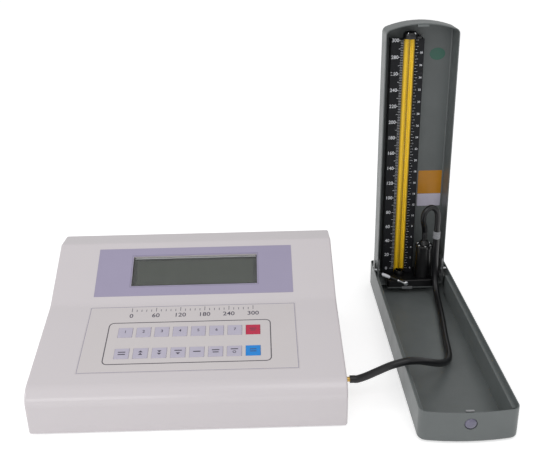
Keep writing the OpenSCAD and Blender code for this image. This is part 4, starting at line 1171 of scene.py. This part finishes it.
# The camera's place in metres and its angles in radians, as the photograph shows them
CAMERA_PLACE = (-0.00413, -0.77973, 0.48105)
PITCH_DOWN, YAW, ROLL = 0.394937, 0.0128837, -0.0197213
# What the floor adds and what the world gives, where 1 is white
FLOOR_GLOW, AMBIENT = 0.55, 0.6


def either(tree, first, second):
    """1 where one of two rays is seen."""
    return add(tree, "ShaderNodeMath", {0: first, 1: second}, operation="MAXIMUM").outputs[0]


def make_floor():
    """Paper-white floor that glows only for the eye, glass and metal, so it lights nothing."""
    bpy.ops.object.select_all(action="DESELECT")
    bpy.ops.mesh.primitive_plane_add(size=60, location=(0, 0, 0))
    floor = named("floor")
    made, tree, shader = material("floor paper white", (0.82, 0.82, 0.82), 0.9)
    seen = add(tree, "ShaderNodeLightPath").outputs
    eye_or_metal = either(tree, seen["Is Camera Ray"], seen["Is Glossy Ray"])
    ray = either(tree, eye_or_metal, seen["Is Transmission Ray"])
    glow = add(tree, "ShaderNodeMath", {0: ray, 1: FLOOR_GLOW}, operation="MULTIPLY")
    shader.inputs["Emission Color"].default_value = (1, 1, 1, 1)
    tree.links.new(glow.outputs[0], shader.inputs["Emission Strength"])
    floor.data.materials.append(made)


def make_world(scene):
    """White world behind the object, at a plainer level on it."""
    world = bpy.data.worlds.new("studio")
    scene.world = world
    world.use_nodes = True
    tree = world.node_tree
    background = tree.nodes["Background"]
    background.inputs["Color"].default_value = (1, 1, 1, 1)
    seen = add(tree, "ShaderNodeLightPath").outputs
    ray = either(tree, seen["Is Camera Ray"], seen["Is Transmission Ray"])
    power = add(tree, "ShaderNodeMapRange", {"Value": ray, "To Min": AMBIENT, "To Max": 1.0})
    tree.links.new(power.outputs["Result"], background.inputs["Strength"])


def area_light(name, place, aim, size, watts):
    """A rectangular light at a place, turned to a point, its sides in metres."""
    bpy.ops.object.light_add(type="AREA", location=place)
    light = bpy.context.object
    light.name = name
    light.data.shape = "RECTANGLE"
    light.data.size, light.data.size_y = size
    light.data.energy = watts
    light.rotation_euler = (Vector(aim) - Vector(place)).to_track_quat("-Z", "Y").to_euler()


def make_camera(scene, focal_length):
    data = bpy.data.cameras.new("camera")
    camera = bpy.data.objects.new("camera", data)
    scene.collection.objects.link(camera)
    data.sensor_width = 36
    data.lens = focal_length
    data.clip_start = 0.01
    ahead = Vector((sin(YAW) * cos(PITCH_DOWN), cos(YAW) * cos(PITCH_DOWN), -sin(PITCH_DOWN)))
    right = Vector((cos(YAW), -sin(YAW), 0))
    up = right.cross(ahead)
    side = cos(ROLL) * right + sin(ROLL) * up
    top = cos(ROLL) * up - sin(ROLL) * right
    turn = Matrix((side, top, -ahead)).transposed().to_4x4()
    camera.matrix_world = Matrix.Translation(CAMERA_PLACE) @ turn
    scene.camera = camera


class CALIBRATOR_OT_stage(bpy.types.Operator):
    """Pale floor, soft studio light and the camera at the photograph's angle"""
    bl_idname = "calibrator.stage"
    bl_label = "Stage"

    def execute(self, context):
        scene = context.scene
        settings = scene.calibrator_stage
        make_floor()
        make_world(scene)
        area_light("key", (0.45, -0.8, 1.45), (0.0, 0, 0.05), (1.1, 0.8), settings.key_power)
        area_light("front", (-0.45, -1.35, 0.4), (0.19, 0.1, 0.2), (0.5, 0.4), settings.front_power)
        area_light("left", (-1.12, -0.76, 0.85), (0.19, 0.05, 0.15), (0.45, 0.45), settings.left_power)
        make_camera(scene, settings.focal_length)
        scene.view_settings.view_transform = "Standard"
        return {"FINISHED"}


OPERATORS = [CALIBRATOR_OT_stage, CALIBRATOR_OT_materials, CALIBRATOR_OT_hoses, CALIBRATOR_OT_cover,
             CALIBRATOR_OT_display, CALIBRATOR_OT_keypad, CALIBRATOR_OT_tray, CALIBRATOR_OT_lid,
             CALIBRATOR_OT_catch, CALIBRATOR_OT_scale, CALIBRATOR_OT_tube, CALIBRATOR_OT_valve,
             CALIBRATOR_OT_reservoir, CALIBRATOR_OT_fittings, CALIBRATOR_OT_labels]


class CALIBRATOR_PT_pieces(bpy.types.Panel):
    """Lists the pieces and their settings"""
    bl_label = "Gauge calibrator"
    bl_idname = "CALIBRATOR_PT_pieces"
    bl_space_type = "VIEW_3D"
    bl_region_type = "UI"
    bl_category = "Calibrator"

    def draw(self, context):
        for group in ("calibrator_console", "calibrator_case", "calibrator_stage"):
            settings = getattr(context.scene, group)
            column = self.layout.box().column()
            for name in settings.__annotations__:
                column.prop(settings, name)
        for operator in OPERATORS:
            self.layout.operator(operator.bl_idname)


CLASSES = [ConsoleSettings, CaseSettings, StageSettings, *OPERATORS, CALIBRATOR_PT_pieces]


def register():
    for each in CLASSES:
        bpy.utils.register_class(each)
    bpy.types.Scene.calibrator_console = PointerProperty(type=ConsoleSettings)
    bpy.types.Scene.calibrator_case = PointerProperty(type=CaseSettings)
    bpy.types.Scene.calibrator_stage = PointerProperty(type=StageSettings)


def unregister():
    del bpy.types.Scene.calibrator_stage
    del bpy.types.Scene.calibrator_case
    del bpy.types.Scene.calibrator_console
    for each in reversed(CLASSES):
        bpy.utils.unregister_class(each)


def main():
    register()
    for operator in OPERATORS:
        group, name = operator.bl_idname.split(".")
        getattr(getattr(bpy.ops, group), name)()


if __name__ == "__main__":
    main()
